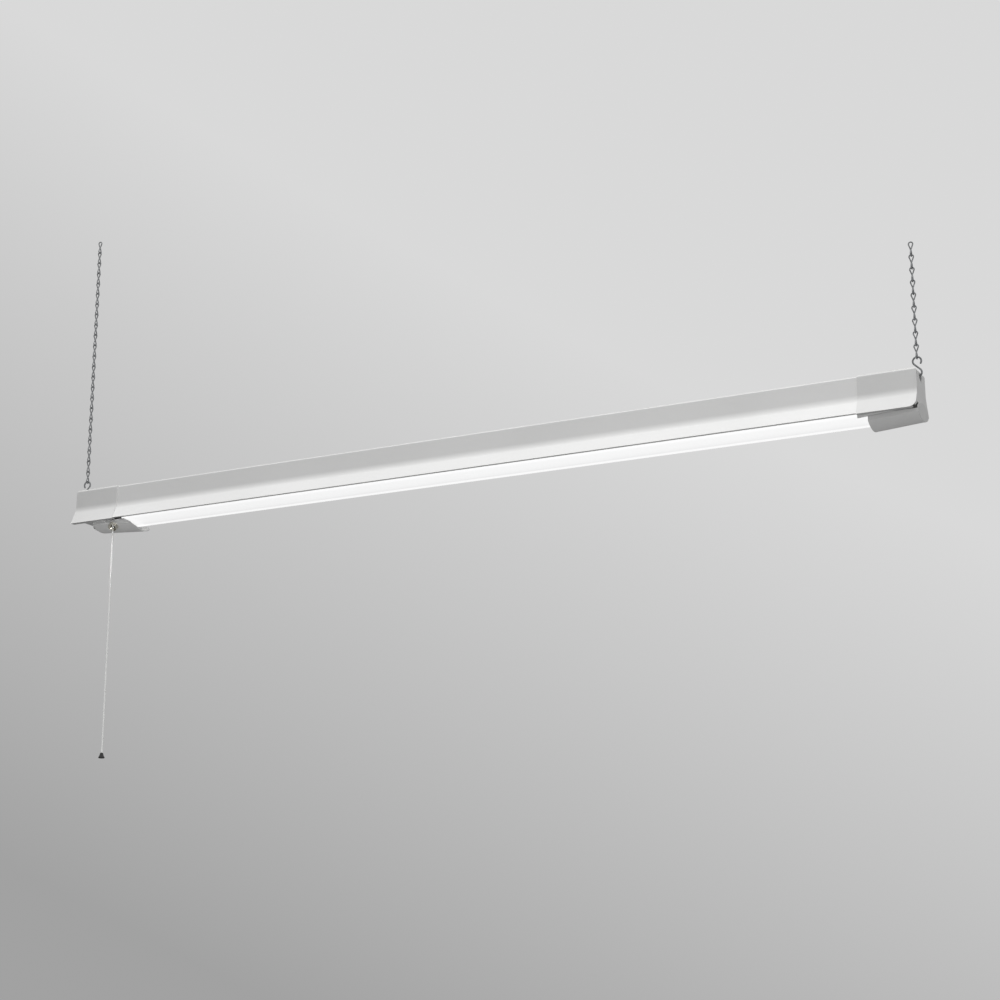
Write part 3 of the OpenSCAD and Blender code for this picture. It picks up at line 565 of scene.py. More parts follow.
def rounded_copy(node, width, sharp_angle, folded=False):
    """A bmesh with the CAD node's shape, its edges rounded and, where it is folded, its folds widened."""
    mesh = bmesh.new()
    mesh.from_mesh(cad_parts[node].data)
    bmesh.ops.remove_doubles(mesh, verts=mesh.verts, dist=WELD)
    bmesh.ops.dissolve_degenerate(mesh, edges=mesh.edges, dist=SLIVER)
    bmesh.ops.dissolve_limit(mesh, angle_limit=math.radians(FLAT_ANGLE), verts=mesh.verts, edges=mesh.edges)
    if folded:
        soften_folds(mesh)
    add_rounding(mesh, width, sharp_angle)
    return mesh


def soften_folds(mesh):
    """Widens the folds where the sides begin to flare: the bends' radii grow, the flat faces stay."""
    growth = sizes().fold_growth
    centre_z = TOP_Z - FOLD_CENTRE_DROP
    for vert in mesh.verts:
        across = FOLD_CENTRE_Y - abs(vert.co.y)
        down = centre_z - vert.co.z
        radius = math.hypot(across, down)
        turn = math.atan2(down, across)
        if FOLD_LEAST < radius < FOLD_MOST and -FOLD_SLACK < turn < FLARE + FOLD_SLACK:
            radius += growth
            out = FOLD_CENTRE_Y + growth - radius * math.cos(turn)
            vert.co.y = math.copysign(out, vert.co.y)
            vert.co.z = centre_z + growth * math.tan(FLARE / 2) - radius * math.sin(turn)


def add_rings(mesh, rings, closed_along=False):
    """Joins rings of equal count into a tube, with its ends closed or joined to each other."""
    made = [[mesh.verts.new(point) for point in ring] for ring in rings]
    count = len(made[0])
    pairs = list(zip(made, made[1:]))
    if closed_along:
        pairs.append((made[-1], made[0]))
    for first, second in pairs:
        for k in range(count):
            following = (k + 1) % count
            mesh.faces.new((first[k], first[following], second[following], second[k]))
    if not closed_along:
        mesh.faces.new(made[0])
        mesh.faces.new(made[-1])
    return made


def add_lathe(mesh, profile, matrix, sides, closed=False):
    """Turns a profile of (radius, height) round Z and places it; a radius of 0 makes a pole."""
    rings = []
    for radius, height in profile:
        if radius < POLE_RADIUS:
            rings.append([mesh.verts.new(matrix @ Vector((0, 0, height)))])
            continue
        turns = [math.tau * k / sides for k in range(sides)]
        rings.append([mesh.verts.new(matrix @ Vector((radius * math.cos(t), radius * math.sin(t), height)))
                      for t in turns])
    pairs = list(zip(rings, rings[1:]))
    if closed:
        pairs.append((rings[-1], rings[0]))
    for first, second in pairs:
        for k in range(sides):
            following = (k + 1) % sides
            corners = [first[k % len(first)], first[following % len(first)],
                       second[following % len(second)], second[k % len(second)]]
            unique = list(dict.fromkeys(corners))
            if len(unique) > 2:
                mesh.faces.new(unique)


def smooth_path(points, steps, closed=False):
    """A Catmull-Rom curve through the points of an open or a closed path."""
    last = len(points) - 1
    made = []
    for i in range(last + closed):
        near = [j % len(points) if closed else max(0, min(last, j)) for j in range(i - 1, i + 3)]
        p = [Vector(points[j]) for j in near]
        made.extend(spline_point(p, k / steps) for k in range(steps))
    if not closed:
        made.append(Vector(points[-1]))
    return made


def spline_point(p, t):
    """A point between the middle two of four points."""
    return 0.5 * (2 * p[1] + (p[2] - p[0]) * t + (2 * p[0] - 5 * p[1] + 4 * p[2] - p[3]) * t * t
                  + (3 * p[1] - p[0] - 3 * p[2] + p[3]) * t ** 3)


def wire_rings(path, radius, sides, closed=False):
    """Rings of a round wire along a path, without twist; the ends of an open wire are rounded."""
    count = len(path)
    runs = []
    for i in range(count):
        before = path[i - 1] if closed or i else path[0]
        after = path[(i + 1) % count] if closed or i < count - 1 else path[-1]
        runs.append((after - before).normalized())
    side = runs[0].orthogonal().normalized()
    sides_along = []
    for run in runs:
        side = (side - run * side.dot(run)).normalized()
        sides_along.append(side)
    turn = 0.0
    if closed:
        last = (sides_along[-1] - runs[0] * sides_along[-1].dot(runs[0])).normalized()
        turn = math.atan2(last.cross(sides_along[0]).dot(runs[0]), last.dot(sides_along[0]))
    rings = []
    for i, (point, run, side) in enumerate(zip(path, runs, sides_along)):
        across = run.cross(side)
        spin = turn * i / count
        rings.append([point + radius * (side * math.cos(math.tau * k / sides + spin)
                                        + across * math.sin(math.tau * k / sides + spin))
                      for k in range(sides)])
    if not closed:
        rings = end_rings(path[0], -runs[0], rings[0], radius)[::-1] + rings
        rings += end_rings(path[-1], runs[-1], rings[-1], radius)
    return rings


def end_rings(point, outward, ring, radius):
    """The shrinking rings of a rounded wire end."""
    made = []
    for angle in END_TURNS:
        turn = math.radians(angle)
        made.append([point + (corner - point) * math.cos(turn) + outward * radius * math.sin(turn)
                     for corner in ring])
    return made


def cut_mesh(body, cutter):
    """The first bmesh less the second, as mesh data."""
    part = object_from("cut_body", body)
    tool = object_from("cut_tool", cutter)
    change = part.modifiers.new("cut", "BOOLEAN")
    change.operation = "DIFFERENCE"
    change.solver = "EXACT"
    change.use_self = True
    change.object = tool
    shown = part.evaluated_get(bpy.context.evaluated_depsgraph_get())
    made = bpy.data.meshes.new_from_object(shown)
    bpy.data.objects.remove(part)
    bpy.data.objects.remove(tool)
    return made


def arc_points(centre_height, radius, start, end, steps):
    """Points of an arc in degrees, as sideways and height pairs."""
    turns = [math.radians(start + (end - start) * k / steps) for k in range(steps + 1)]
    return [(radius * math.cos(t), centre_height + radius * math.sin(t)) for t in turns]


def in_mm(profile):
    """A profile that is given in millimetres."""
    return [(radius * MM, height * MM) for radius, height in profile]


def rounded_profile(profile):
    """A curve through a profile that is given in millimetres."""
    return smooth_path(in_mm(profile), CURVE_STEPS)


# Operators

# The camera as it was fitted to the photograph's straight edges

CAMERA_LENS = 72.76
CAMERA_SENSOR = 36
CAMERA_REACH = 100
CAMERA_PITCH = 14.73
CAMERA_TURN = 27.22
CAMERA_PLACE = (1.199, -2.217, -1.0173)


class PieceOperator:
    """What all the operators share."""

    bl_options = {"REGISTER", "UNDO"}


class PENDANT_OT_camera(PieceOperator, bpy.types.Operator):
    """Place the camera below the lamp, to its front and right, looking up"""

    bl_idname = "pendant.camera"
    bl_label = "Camera"

    def execute(self, context):
        data = bpy.data.cameras.new("front_camera")
        data.lens = CAMERA_LENS
        data.sensor_width = CAMERA_SENSOR
        data.clip_end = CAMERA_REACH
        camera = new_object("front_camera", data)
        camera.location = CAMERA_PLACE
        camera.rotation_euler = (math.radians(90 + CAMERA_PITCH), 0, math.radians(CAMERA_TURN))
        bpy.context.scene.camera = camera
        return {"FINISHED"}


# The pull cord with its bead and knob; the profiles are radius and height in millimetres

CORD_PLAY = 0.03 * MM
BRAID_STEP = 0.55 * MM
BRAID_SIDES = 20
BRAID_LAY = 7.2 * MM
BRAID_DEPTH = 0.11
STRAND_LEVEL = 0.55  # height from which a strand's white begins; lower down, in the grooves, the colour is darkened as painted shade
STRAND_GAIN = 2.2
BEAD_STEPS = 16
KNOB_PROFILE = ((3.62, 0.0), (4.1, 0.12), (4.36, 0.5), (4.38, 0.95), (4.22, 1.5), (3.85, 2.2), (3.35, 3.1),
                (2.9, 4.2), (2.5, 5.4), (2.12, 6.6), (1.95, 7.1), (1.7, 7.42), (1.4, 7.5), (1.25, 7.42))
KNOB_CUP = ((0, 0.9), (2.6, 0.9), (3.3, 0.5), (3.5, 0.05))
KNOB_WELL_TOP = 7.3 * MM
KNOB_WELL_FLOOR = 4.6 * MM


class PENDANT_OT_pull_cord(PieceOperator, bpy.types.Operator):
    """Make the braided pull cord with its bead and bell-shaped knob"""

    bl_idname = "pendant.pull_cord"
    bl_label = "Pull cord"

    def execute(self, context):
        bead = self.make_bead()
        knob = self.make_knob()
        length = sizes().cord_above + sizes().cord_below
        start = BEAD_CENTRE + Vector((0, 0, sizes().cord_above))
        cord = self.make_braid(start, length)
        return {"FINISHED"}

    def make_braid(self, start, length):
        """The cord as a tube whose surface rises in crossing strands."""
        mesh = bmesh.new()
        strand = mesh.verts.layers.float.new(BRAID_MARK)
        radius = sizes().cord_diameter / 2
        count = round(length / BRAID_STEP)
        rings, levels = [], []
        for i in range(count + 1):
            drop = length * i / count
            ring, marks = [], []
            for k in range(BRAID_SIDES):
                turn = math.tau * k / BRAID_SIDES
                lay = math.tau * drop / BRAID_LAY
                level = max(abs(math.cos(2 * turn + lay)), abs(math.cos(2 * turn - lay)))
                here = radius * (1 - BRAID_DEPTH * (1 - level))
                ring.append(start + Vector((here * math.cos(turn), here * math.sin(turn), -drop)))
                marks.append(min(1.0, STRAND_GAIN * (level - STRAND_LEVEL)))
            rings.append(ring)
            levels.append(marks)
        made = add_rings(mesh, rings)
        for ring, marks in zip(made, levels):
            for vert, mark in zip(ring, marks):
                vert[strand] = mark
        return mesh_piece("braided_cord", mesh, "pull", ["pull_cord"], cord_finish(),
                          edge_angle=60)

    def bore(self):
        """Radius of the holes that the cord goes through."""
        return sizes().cord_diameter / 2 + CORD_PLAY

    def make_bead(self):
        """A round bead with its bore."""
        radius = (BEAD_HIGH.x - BEAD_LOW.x) / 2
        bore = self.bore()
        rim = math.sqrt(radius ** 2 - bore ** 2)
        reach = math.degrees(math.atan2(rim, bore))
        turns = [math.radians(reach * (2 * k / BEAD_STEPS - 1)) for k in range(BEAD_STEPS + 1)]
        profile = [(radius * math.cos(t), radius * math.sin(t)) for t in turns]
        mesh = bmesh.new()
        add_lathe(mesh, profile, Matrix.Translation(BEAD_CENTRE), sides=40, closed=True)
        return mesh_piece("nickel_bead", mesh, "pull", ["cord_bead"], nickel_finish(),
                          edge_angle=40)

    def make_knob(self):
        """A small bell with a hollow foot and a well for the cord's end."""
        middle = Matrix.Translation(Vector((BEAD_CENTRE.x, BEAD_CENTRE.y, KNOB_FOOT_Z)))
        well = [(self.bore(), KNOB_WELL_TOP), (self.bore(), KNOB_WELL_FLOOR), (0, KNOB_WELL_FLOOR)]
        profile = in_mm(KNOB_CUP) + rounded_profile(KNOB_PROFILE) + well
        mesh = bmesh.new()
        add_lathe(mesh, profile, middle, sides=56)
        return mesh_piece("bell_knob", mesh, "pull", ["cord_knob"], knob_finish(),
                          edge_angle=38)


class PENDANT_OT_housing(PieceOperator, bpy.types.Operator):
    """Make the folded sheet-steel housing"""

    bl_idname = "pendant.housing"
    bl_label = "Housing"

    def execute(self, context):
        rounded_piece("steel_housing", "housing", paint_finish(),
                      width=0.25 * MM, sharp_angle=40, folded=True)
        return {"FINISHED"}


class PENDANT_OT_end_caps(PieceOperator, bpy.types.Operator):
    """Make the two moulded end caps"""

    bl_idname = "pendant.end_caps"
    bl_label = "End caps"

    def execute(self, context):
        for side in ("left", "right"):
            rounded_piece("moulded_cap_" + side, "end_cap_" + side, cap_finish(),
                          width=sizes().edge_round, sharp_angle=28, folded=True)
        return {"FINISHED"}


class PENDANT_OT_lens(PieceOperator, bpy.types.Operator):
    """Make the bowed opal diffuser"""

    bl_idname = "pendant.lens"
    bl_label = "Lens"

    def execute(self, context):
        rounded_piece("opal_lens", "lens", opal_finish(), width=0.2 * MM, sharp_angle=40)
        return {"FINISHED"}


class PENDANT_OT_covers(PieceOperator, bpy.types.Operator):
    """Make the trough covers under the two caps"""

    bl_idname = "pendant.covers"
    bl_label = "Covers"

    def execute(self, context):
        for node, name in (("end_cover_right", "trough_cover_right"), ("switch_cover", "trough_cover_left")):
            rounded_piece(name, node, cover_finish(), width=0.22 * MM, sharp_angle=35)
        return {"FINISHED"}


# The pull switch; the bell's profiles are radius and height in millimetres from its mouth

BELL_MOUTH_Y = -22.1 * MM
BELL_MOUTH_DROP = 61.9 * MM  # below the housing's top
BELL_OUTSIDE = ((4.1, 4.2), (5.85, 4.2), (6.0, 4.1), (5.85, 3.75), (5.6, 3.2), (5.75, 2.6), (6.1, 1.9),
                (6.45, 1.3), (6.6, 0.9), (6.58, 0.45), (6.35, 0.12), (6.0, 0.0))
BELL_INSIDE = ((5.7, 0.08), (5.45, 0.35), (5.1, 0.85), (4.5, 1.4), (3.7, 2.1), (3.1, 2.6), (2.92, 2.8),
               (4.1, 2.82), (4.1, 3.5))
THREAD_OUTER = 4.0 * MM
THREAD_BORE = 2.7 * MM
THREAD_START = 2.8 * MM
THREAD_END = 14.2 * MM
THREAD_CRESTS = 14
THREAD_DEPTH = 0.3 * MM


class PENDANT_OT_pull_switch(PieceOperator, bpy.types.Operator):
    """Make the pull switch's bell mouth, washer and threaded tube"""

    bl_idname = "pendant.pull_switch"
    bl_label = "Pull switch"

    def execute(self, context):
        bell = bmesh.new()
        profile = rounded_profile(BELL_OUTSIDE) + rounded_profile(BELL_INSIDE)
        add_lathe(bell, profile, self.place(), sides=64, closed=True)
        mesh_piece("bell_mouth", bell, LAMP, ["switch_bell"], nickel_finish(), edge_angle=40)
        rounded_piece("bell_washer", "switch_washer", nickel_finish(),
                      width=0.15 * MM, sharp_angle=40)
        self.make_thread()
        return {"FINISHED"}

    def place(self):
        """The bell's mouth, with Z along the switch's tilted axis."""
        mouth = Vector((BEAD_CENTRE.x, BELL_MOUTH_Y, TOP_Z - BELL_MOUTH_DROP))
        return Matrix.Translation(mouth) @ Matrix.Rotation(-sizes().switch_tilt, 4, "X")

    def make_thread(self):
        """The nipple's thread, as a row of fine crests round the tube."""
        pitch = (THREAD_END - THREAD_START) / THREAD_CRESTS
        root = THREAD_OUTER - THREAD_DEPTH
        profile = [(THREAD_BORE, THREAD_START)]
        for i in range(THREAD_CRESTS):
            profile.append((root, THREAD_START + pitch * i))
            profile.append((THREAD_OUTER, THREAD_START + pitch * (i + 0.5)))
        profile.append((root, THREAD_END))
        profile.append((THREAD_BORE, THREAD_END))
        mesh = bmesh.new()
        add_lathe(mesh, profile, self.place(), sides=40, closed=True)
        mesh_piece("threaded_tube", mesh, LAMP, ["switch_nipple"], nickel_finish(),
                   edge_angle=60)


# The S-hooks

HOOK_SIDES = 18
HOOK_LOWER_START = 182  # degrees, where the lower loop's free end is
HOOK_UPPER_END = -36
HOOK_LOWER_STEPS = 30
HOOK_UPPER_STEPS = 34
HOOK_STEM_STEPS = 4


class PENDANT_OT_hooks(PieceOperator, bpy.types.Operator):
    """Make the two S-hooks"""

    bl_idname = "pendant.hooks"
    bl_label = "S-hooks"

    def execute(self, context):
        for side, sign in (("left", -1), ("right", 1)):
            low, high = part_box("s_hook_" + side)
            mesh = bmesh.new()
            path = [Vector(((low.x + high.x) / 2 + sign * x, 0, low.z + z)) for x, z in self.hook_path()]
            add_rings(mesh, wire_rings(path, sizes().hook_wire / 2, HOOK_SIDES))
            mesh_piece("s_hook_wire_" + side, mesh, "hooks", ["s_hook_" + side],
                       zinc_finish(), edge_angle=50)
        return {"FINISHED"}

    def hook_path(self):
        """The wire's centre line in the hook's plane, from the lower loop's free end to the upper one's."""
        radius, span = sizes().hook_radius, sizes().hook_span
        lean = math.degrees(math.asin(2 * radius / span))
        low_z = sizes().hook_wire / 2 + radius
        lower = arc_points(low_z, radius, HOOK_LOWER_START, 360 + lean, HOOK_LOWER_STEPS)
        upper = arc_points(low_z + span, radius, 180 + lean, HOOK_UPPER_END, HOOK_UPPER_STEPS)
        stem = [tuple(Vector(lower[-1]).lerp(Vector(upper[0]), k / HOOK_STEM_STEPS))
                for k in range(1, HOOK_STEM_STEPS)]
        return lower + stem + upper


# The chains' links

CHAIN_SIDES = 10
LINK_SEED = 7
LINK_SPREAD = 0.02
LOOP_STEPS = 12
CONTACT_GAP = 0.3 * MM
WAIST_PLAY = 0.05 * MM
WAIST_HEIGHT = 1.3 * MM
LEG_LEAN = 17


class PENDANT_OT_chains(PieceOperator, bpy.types.Operator):
    """Make the figure-eight links of both chains"""

    bl_idname = "pendant.chains"
    bl_label = "Chains"

    def execute(self, context):
        pitch, wire = sizes().chain_pitch, sizes().chain_wire
        chain_x = (LINK_LOW.x + LINK_HIGH.x) / 2
        reach = (LINK_HIGH.z - LINK_LOW.z) / 2
        spread = random.Random(LINK_SEED)
        for side, sign in (("left", -1), ("right", 1)):
            low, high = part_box("chain_" + side)
            count = round((high.z - low.z - 2 * reach) / pitch) + 1
            chain = bmesh.new()
            for i in range(count):
                self.add_link(chain, Vector((sign * chain_x, 0, low.z + reach + pitch * i)), wire, spread)
            mesh_piece("jack_chain_" + side, chain, "chains", ["chain_" + side],
                       zinc_finish(), edge_angle=60)
            top = bmesh.new()
            self.add_link(top, Vector((sign * chain_x, 0, low.z + reach + pitch * count)), wire, spread)
            mesh_piece("jack_top_link_" + side, top, "top_links", ["top_link_" + side],
                       zinc_finish(), edge_angle=60)
        return {"FINISHED"}

    def add_link(self, mesh, centre, wire, spread):
        """One link: a closed wire whose two loops stand square to each other and twist at the waist."""
        squeeze = 1 + spread.uniform(-LINK_SPREAD, LINK_SPREAD)
        path = [centre + Vector((p[0] * squeeze, p[1] * squeeze, p[2])) for p in self.link_path()]
        add_rings(mesh, wire_rings(path, wire / 2, CHAIN_SIDES, closed=True), closed_along=True)

    def link_path(self):
        """The wire's centre line round a link whose middle is at the origin."""
        radius, pitch, wire = sizes().link_radius, sizes().chain_pitch, sizes().chain_wire
        reach = (pitch + wire + CONTACT_GAP) / 2
        lift = reach - radius
        waist = wire / 2 + WAIST_PLAY
        upper = arc_points(lift, radius, -LEG_LEAN, 180 + LEG_LEAN, LOOP_STEPS)
        upper = [(waist, WAIST_HEIGHT)] + upper + [(-waist, WAIST_HEIGHT)]
        lower = [(y, -z) for y, z in upper]
        side = waist * math.sqrt(0.5)
        points = [Vector((x, 0, z)) for x, z in upper]
        points += [Vector((-side, side, 0))]
        points += [Vector((0, y, z)) for y, z in lower]
        points += [Vector((side, -side, 0))]
        return smooth_path(points, 2, closed=True)


# The cap screws

SCREW_HEAD_R = 3.4 * MM
SCREW_HEAD_H = 1.8 * MM
SCREW_R = 1.75 * MM
SCREW_LEN = 6.2 * MM
SCREW_HEAD_TOP = ((1.5, 1.76), (2.5, 1.55), (3.1, 1.1), (3.4, 0.5))  # radius and height, mm
SCREW_SIDES = 40
SCREW_TURN = 23  # degrees
SCREW_TURN_X = 4000  # degrees for each metre along the lamp
SCREW_TURN_Y = 1900
RECESS_SIZE = (3.6 * MM, 0.8 * MM, 2.2 * MM)
RECESS_HEIGHT = 2.1 * MM


class PENDANT_OT_brackets(PieceOperator, bpy.types.Operator):
    """Make the hanger brackets and the cap screws"""

    bl_idname = "pendant.brackets"
    bl_label = "Brackets and screws"

    def execute(self, context):
        for side in ("left", "right"):
            rounded_piece("steel_bracket_" + side, "hanger_bracket_" + side,
                          bracket_finish(), width=0.25 * MM, sharp_angle=40)
        low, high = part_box("cap_screws")
        head = self.screw_mesh()
        screws = bmesh.new()
        reach_x = high.x - SCREW_HEAD_R
        reach_y = high.y - SCREW_HEAD_R
        for x in (-reach_x, reach_x):
            for y in (-reach_y, reach_y):
                turn = math.radians(SCREW_TURN + SCREW_TURN_X * x + SCREW_TURN_Y * y)
                place = Matrix.Translation(Vector((x, y, high.z - SCREW_HEAD_H)))
                part = head.copy()
                part.transform(place @ Matrix.Rotation(turn, 4, "Z"))
                screws.from_mesh(part)
                bpy.data.meshes.remove(part)
        mesh_piece("cap_screw_set", screws, LAMP, ["cap_screws"], nickel_finish(),
                   edge_angle=30)
        return {"FINISHED"}

    def screw_mesh(self):
        """One pan-head screw with a cross recess, cut by a boolean."""
        body = bmesh.new()
        head = [(0, SCREW_HEAD_H), *in_mm(SCREW_HEAD_TOP), (SCREW_HEAD_R, 0.0)]
        shank = [(SCREW_R, 0.0), (SCREW_R, -SCREW_LEN), (0, -SCREW_LEN)]
        add_lathe(body, head + shank, Matrix(), SCREW_SIDES)
        bmesh.ops.recalc_face_normals(body, faces=body.faces)
        recess = bmesh.new()
        for turn in (0, 90):
            arm = bmesh.ops.create_cube(recess, size=1)
            shape = Matrix.Rotation(math.radians(turn), 4, "Z") @ Matrix.Translation((0, 0, RECESS_HEIGHT))
            shape = shape @ Matrix.Diagonal((*RECESS_SIZE, 1))
            bmesh.ops.transform(recess, verts=arm["verts"], matrix=shape)
        return cut_mesh(body, recess)


# The hidden parts' finishes

PALE_METAL = (0.6, 0.6, 0.58)
INSIDE_MOTTLE = 60.0
INSIDE_GRAIN = 1500.0

# Rows of slot, colour, least and greatest roughness, metal share and the CAD nodes that wear the finish
INSIDE_FINISHES = (
    ("white_paint", (0.8, 0.8, 0.79), (0.35, 0.5), 0.0, ("led_tray", "driver_case", "driver_lid")),
    ("nickel", PALE_METAL, (0.25, 0.4), 1.0,
     ("tray_posts", "tray_screws", "switch_pin", "switch_contacts", "driver_screws", "terminal_screws")),
    ("board_white", (0.84, 0.85, 0.83), (0.3, 0.42), 0.0, ("led_board_left", "led_board_right")),
    ("led_yellow", (0.88, 0.68, 0.15), (0.2, 0.3), 0.0, ("leds",)),
    ("black_plastic", (0.02, 0.02, 0.022), (0.35, 0.5), 0.0,
     ("switch_body", "switch_lid", "driver_capacitors")),
    ("white_plastic", (0.82, 0.82, 0.8), (0.3, 0.45), 0.0, ("switch_drum", "terminal_block")),
    ("spring_steel", (0.5, 0.5, 0.52), (0.2, 0.35), 1.0, ("switch_spring",)),
    ("circuit_green", (0.03, 0.16, 0.06), (0.3, 0.45), 0.0, ("driver_board",)),
    ("winding_tape", (0.62, 0.45, 0.06), (0.35, 0.5), 0.0, ("driver_transformer",)),
    ("wire_black", (0.015, 0.015, 0.015), (0.35, 0.5), 0.0, ("supply_wires",)),
    ("wire_red", (0.5, 0.02, 0.02), (0.35, 0.5), 0.0, ("switch_wires",)),
    ("wire_white", (0.8, 0.8, 0.8), (0.35, 0.5), 0.0, ("led_wires",)),
    ("green_screw", (0.03, 0.22, 0.07), (0.3, 0.45), 0.6, ("ground_screw",)),
)


class PENDANT_OT_inside(PieceOperator, bpy.types.Operator):
    """Finish the light source, the driver, the wiring and the inlet"""

    bl_idname = "pendant.inside"
    bl_label = "Inside parts"

    def execute(self, context):
        rounded_piece("inlet_bushing", "cord_bushing", knob_finish(),
                      width=0.4 * MM, sharp_angle=35)
        for slot, colour, rough, metallic, nodes in INSIDE_FINISHES:
            material = finish(slot + "_inside", colour, second=0.9, mottle=INSIDE_MOTTLE, rough=rough,
                              grain=INSIDE_GRAIN, metallic=metallic, wear=0.0)
            for node in nodes:
                dress(node, material)
        return {"FINISHED"}


# The stage: floor, sky, backdrop and lamps

FLOOR_REACH = 14
FLOOR_Z = -1.75
FLOOR_CELLS = 24
FLOOR_MOTTLE = 1.5
FLOOR_ROUGHNESS = 0.8
FLOOR_BOUNCE = 0.62  # share of the floor's colour that lights the lamp
SKY_LIGHT = 0.4
SKY_FRONT = (0, -1, 0)
SKY_FRONT_GAIN = 0.13
BACKDROP_RIGHT = (0.889, 0.457, 0.0)
BACKDROP_RIGHT_GAIN = 0.433
BACKDROP_UP_GAIN = 0.859
BACKDROP_LEVEL = 0.396
BACKDROP_LEAST = 0.36
BACKDROP_MOST = 0.695

# Rows of name, place, target, sides, watts, spread in degrees and whether gloss mirrors the lamp
STAGE_LAMPS = (
    ("top_softbox", (0.1, -0.25, 1.7), (0.1, 0, -0.27), (2.2, 0.8), 51, 180, False),
    ("right_softbox", (0.74, -0.07, 0.25), (0.62, 0, -0.3), (0.5, 0.3), 0.7, 180, False),
    ("low_softbox", (0.4, -1.2, -1.4), (0.6, 0, -0.33), (0.8, 0.6), 4.5, 180, True),
    ("cord_softbox", (-0.4, -0.85, -0.4), (-0.541, -0.02, -0.372), (0.06, 0.04), 0.005, 8, True),
)


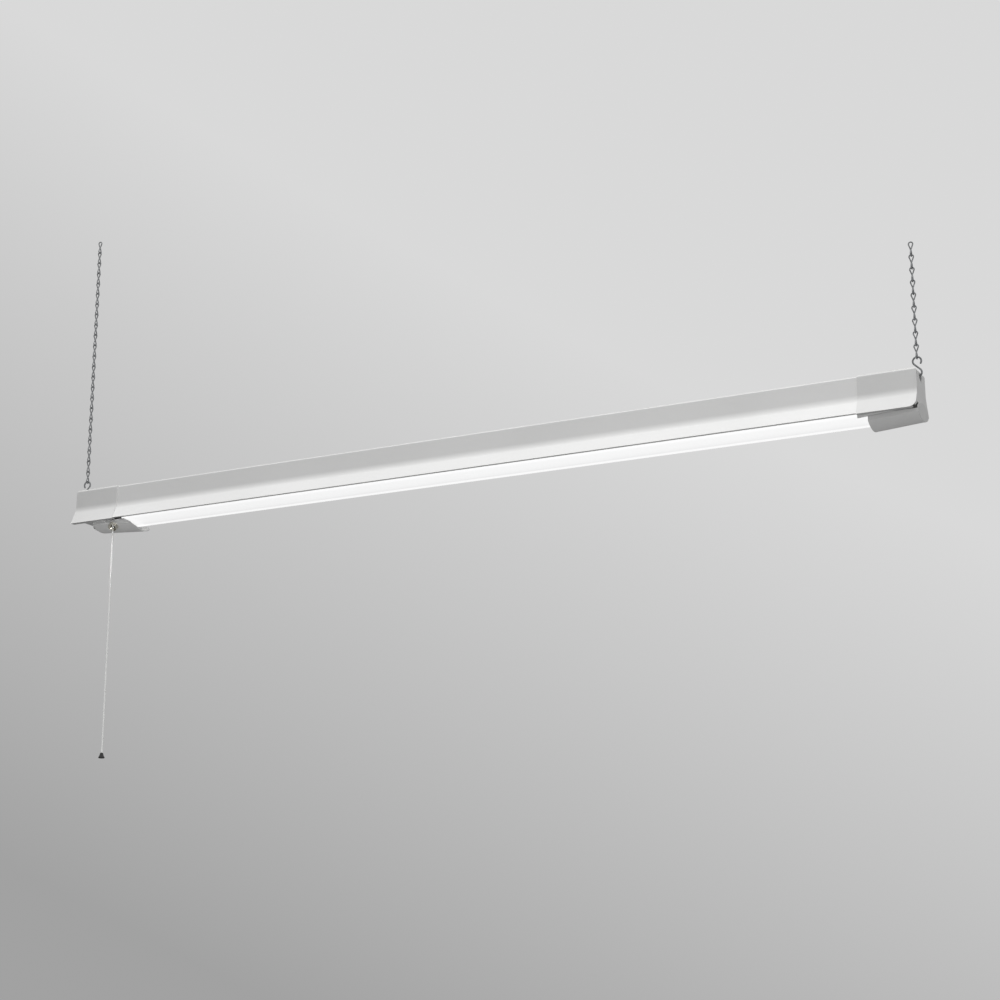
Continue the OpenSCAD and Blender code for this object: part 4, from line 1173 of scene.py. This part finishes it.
class PENDANT_OT_stage(PieceOperator, bpy.types.Operator):
    """Set the pale floor, the backdrop and the soft studio lamps"""

    bl_idname = "pendant.stage"
    bl_label = "Stage"

    def execute(self, context):
        bpy.context.scene.view_settings.view_transform = "Standard"
        self.make_floor()
        self.make_world()
        for name, place, target, size, power, spread, mirrored in STAGE_LAMPS:
            data = bpy.data.lights.new(name, "AREA")
            data.shape = "RECTANGLE"
            data.size, data.size_y = size
            data.energy = power
            data.spread = math.radians(spread)
            lamp = new_object(name, data)
            lamp.location = place
            lamp.visible_glossy = mirrored
            look = Vector(target) - Vector(place)
            lamp.rotation_euler = look.to_track_quat("-Z", "Y").to_euler()
        return {"FINISHED"}

    def make_floor(self):
        """A wide pale floor, dimmer for the light that it sends back than for the eye."""
        mesh = bmesh.new()
        bmesh.ops.create_grid(mesh, x_segments=FLOOR_CELLS, y_segments=FLOOR_CELLS, size=FLOOR_REACH)
        floor = object_from("studio_floor", mesh)
        floor.location = (0, 0, FLOOR_Z)
        material, tree, shader = new_material("pale_floor", specular=0.2)
        tone = mottled(tree, colours().floor, 0.97, FLOOR_MOTTLE)
        path = add_node(tree, "LightPath")
        bounce = shade(colours().floor, FLOOR_BOUNCE)
        colour = mixed(tree, path.outputs["Is Camera Ray"], bounce, tone)
        tree.links.new(colour, shader.inputs["Base Color"])
        shader.inputs["Roughness"].default_value = FLOOR_ROUGHNESS
        floor.data.materials.append(material)

    def make_world(self):
        """A soft even sky for the lamp, and for the eye a pale grey that lightens to the right and up."""
        world = bpy.data.worlds.new("studio")
        world.use_nodes = True
        tree = world.node_tree
        tree.nodes.clear()
        rightward = self.slope(tree, BACKDROP_RIGHT, BACKDROP_RIGHT_GAIN)
        total = combine(tree, "ADD", rightward, self.slope(tree, (0, 0, 1), BACKDROP_UP_GAIN))
        level = remap(tree, combine(tree, "ADD", total, BACKDROP_LEVEL), BACKDROP_LEAST, BACKDROP_MOST,
                      BACKDROP_LEAST, BACKDROP_MOST)
        seen = add_node(tree, "Background")
        tree.links.new(level, seen.inputs["Color"])
        gain = self.slope(tree, SKY_FRONT, SKY_FRONT_GAIN)
        light = add_node(tree, "Background", Color=(1, 1, 1, 1))
        tree.links.new(combine(tree, "ADD", gain, SKY_LIGHT), light.inputs["Strength"])
        path = add_node(tree, "LightPath")
        clear = combine(tree, "MAXIMUM", path.outputs["Is Camera Ray"], path.outputs["Is Transmission Ray"])
        mirror = combine(tree, "MAXIMUM", clear, path.outputs["Is Glossy Ray"])
        pick = add_node(tree, "MixShader")
        tree.links.new(mirror, pick.inputs[0])
        tree.links.new(light.outputs[0], pick.inputs[1])
        tree.links.new(seen.outputs[0], pick.inputs[2])
        out = add_node(tree, "OutputWorld")
        tree.links.new(pick.outputs[0], out.inputs[0])
        bpy.context.scene.world = world

    def slope(self, tree, direction, gain):
        """A level that rises towards one side of the sky."""
        where = add_node(tree, "TexCoord")
        along = add_node(tree, "VectorMath", operation="DOT_PRODUCT")
        tree.links.new(where.outputs["Generated"], along.inputs[0])
        along.inputs[1].default_value = direction
        return combine(tree, "MULTIPLY", along.outputs["Value"], gain)


OPERATORS = (
    PENDANT_OT_camera,
    PENDANT_OT_pull_cord,
    PENDANT_OT_housing,
    PENDANT_OT_end_caps,
    PENDANT_OT_lens,
    PENDANT_OT_covers,
    PENDANT_OT_pull_switch,
    PENDANT_OT_hooks,
    PENDANT_OT_chains,
    PENDANT_OT_brackets,
    PENDANT_OT_inside,
    PENDANT_OT_stage,
)


class PENDANT_PT_panel(bpy.types.Panel):
    """The pendant's pieces and settings."""

    bl_idname = "PENDANT_PT_panel"
    bl_label = "Pendant Light"
    bl_space_type = "VIEW_3D"
    bl_region_type = "UI"
    bl_category = "Pendant"

    def draw(self, context):
        layout = self.layout
        for operator in OPERATORS:
            layout.operator(operator.bl_idname)
        for settings in (context.scene.pendant_sizes, context.scene.pendant_colours):
            for name in settings.bl_rna.properties.keys():
                if name not in ("rna_type", "name"):
                    layout.prop(settings, name)


CLASSES = (PendantSizes, PendantColours, *OPERATORS, PENDANT_PT_panel)


def register():
    for item in CLASSES:
        bpy.utils.register_class(item)
    bpy.types.Scene.pendant_sizes = bpy.props.PointerProperty(type=PendantSizes)
    bpy.types.Scene.pendant_colours = bpy.props.PointerProperty(type=PendantColours)


def unregister():
    del bpy.types.Scene.pendant_colours
    del bpy.types.Scene.pendant_sizes
    for item in reversed(CLASSES):
        bpy.utils.unregister_class(item)


def main():
    register()
    bpy.ops.pendant.camera()
    bpy.ops.pendant.pull_cord()
    bpy.ops.pendant.housing()
    bpy.ops.pendant.end_caps()
    bpy.ops.pendant.lens()
    bpy.ops.pendant.covers()
    bpy.ops.pendant.pull_switch()
    bpy.ops.pendant.hooks()
    bpy.ops.pendant.chains()
    bpy.ops.pendant.brackets()
    bpy.ops.pendant.inside()
    bpy.ops.pendant.stage()


if __name__ == "__main__":
    main()
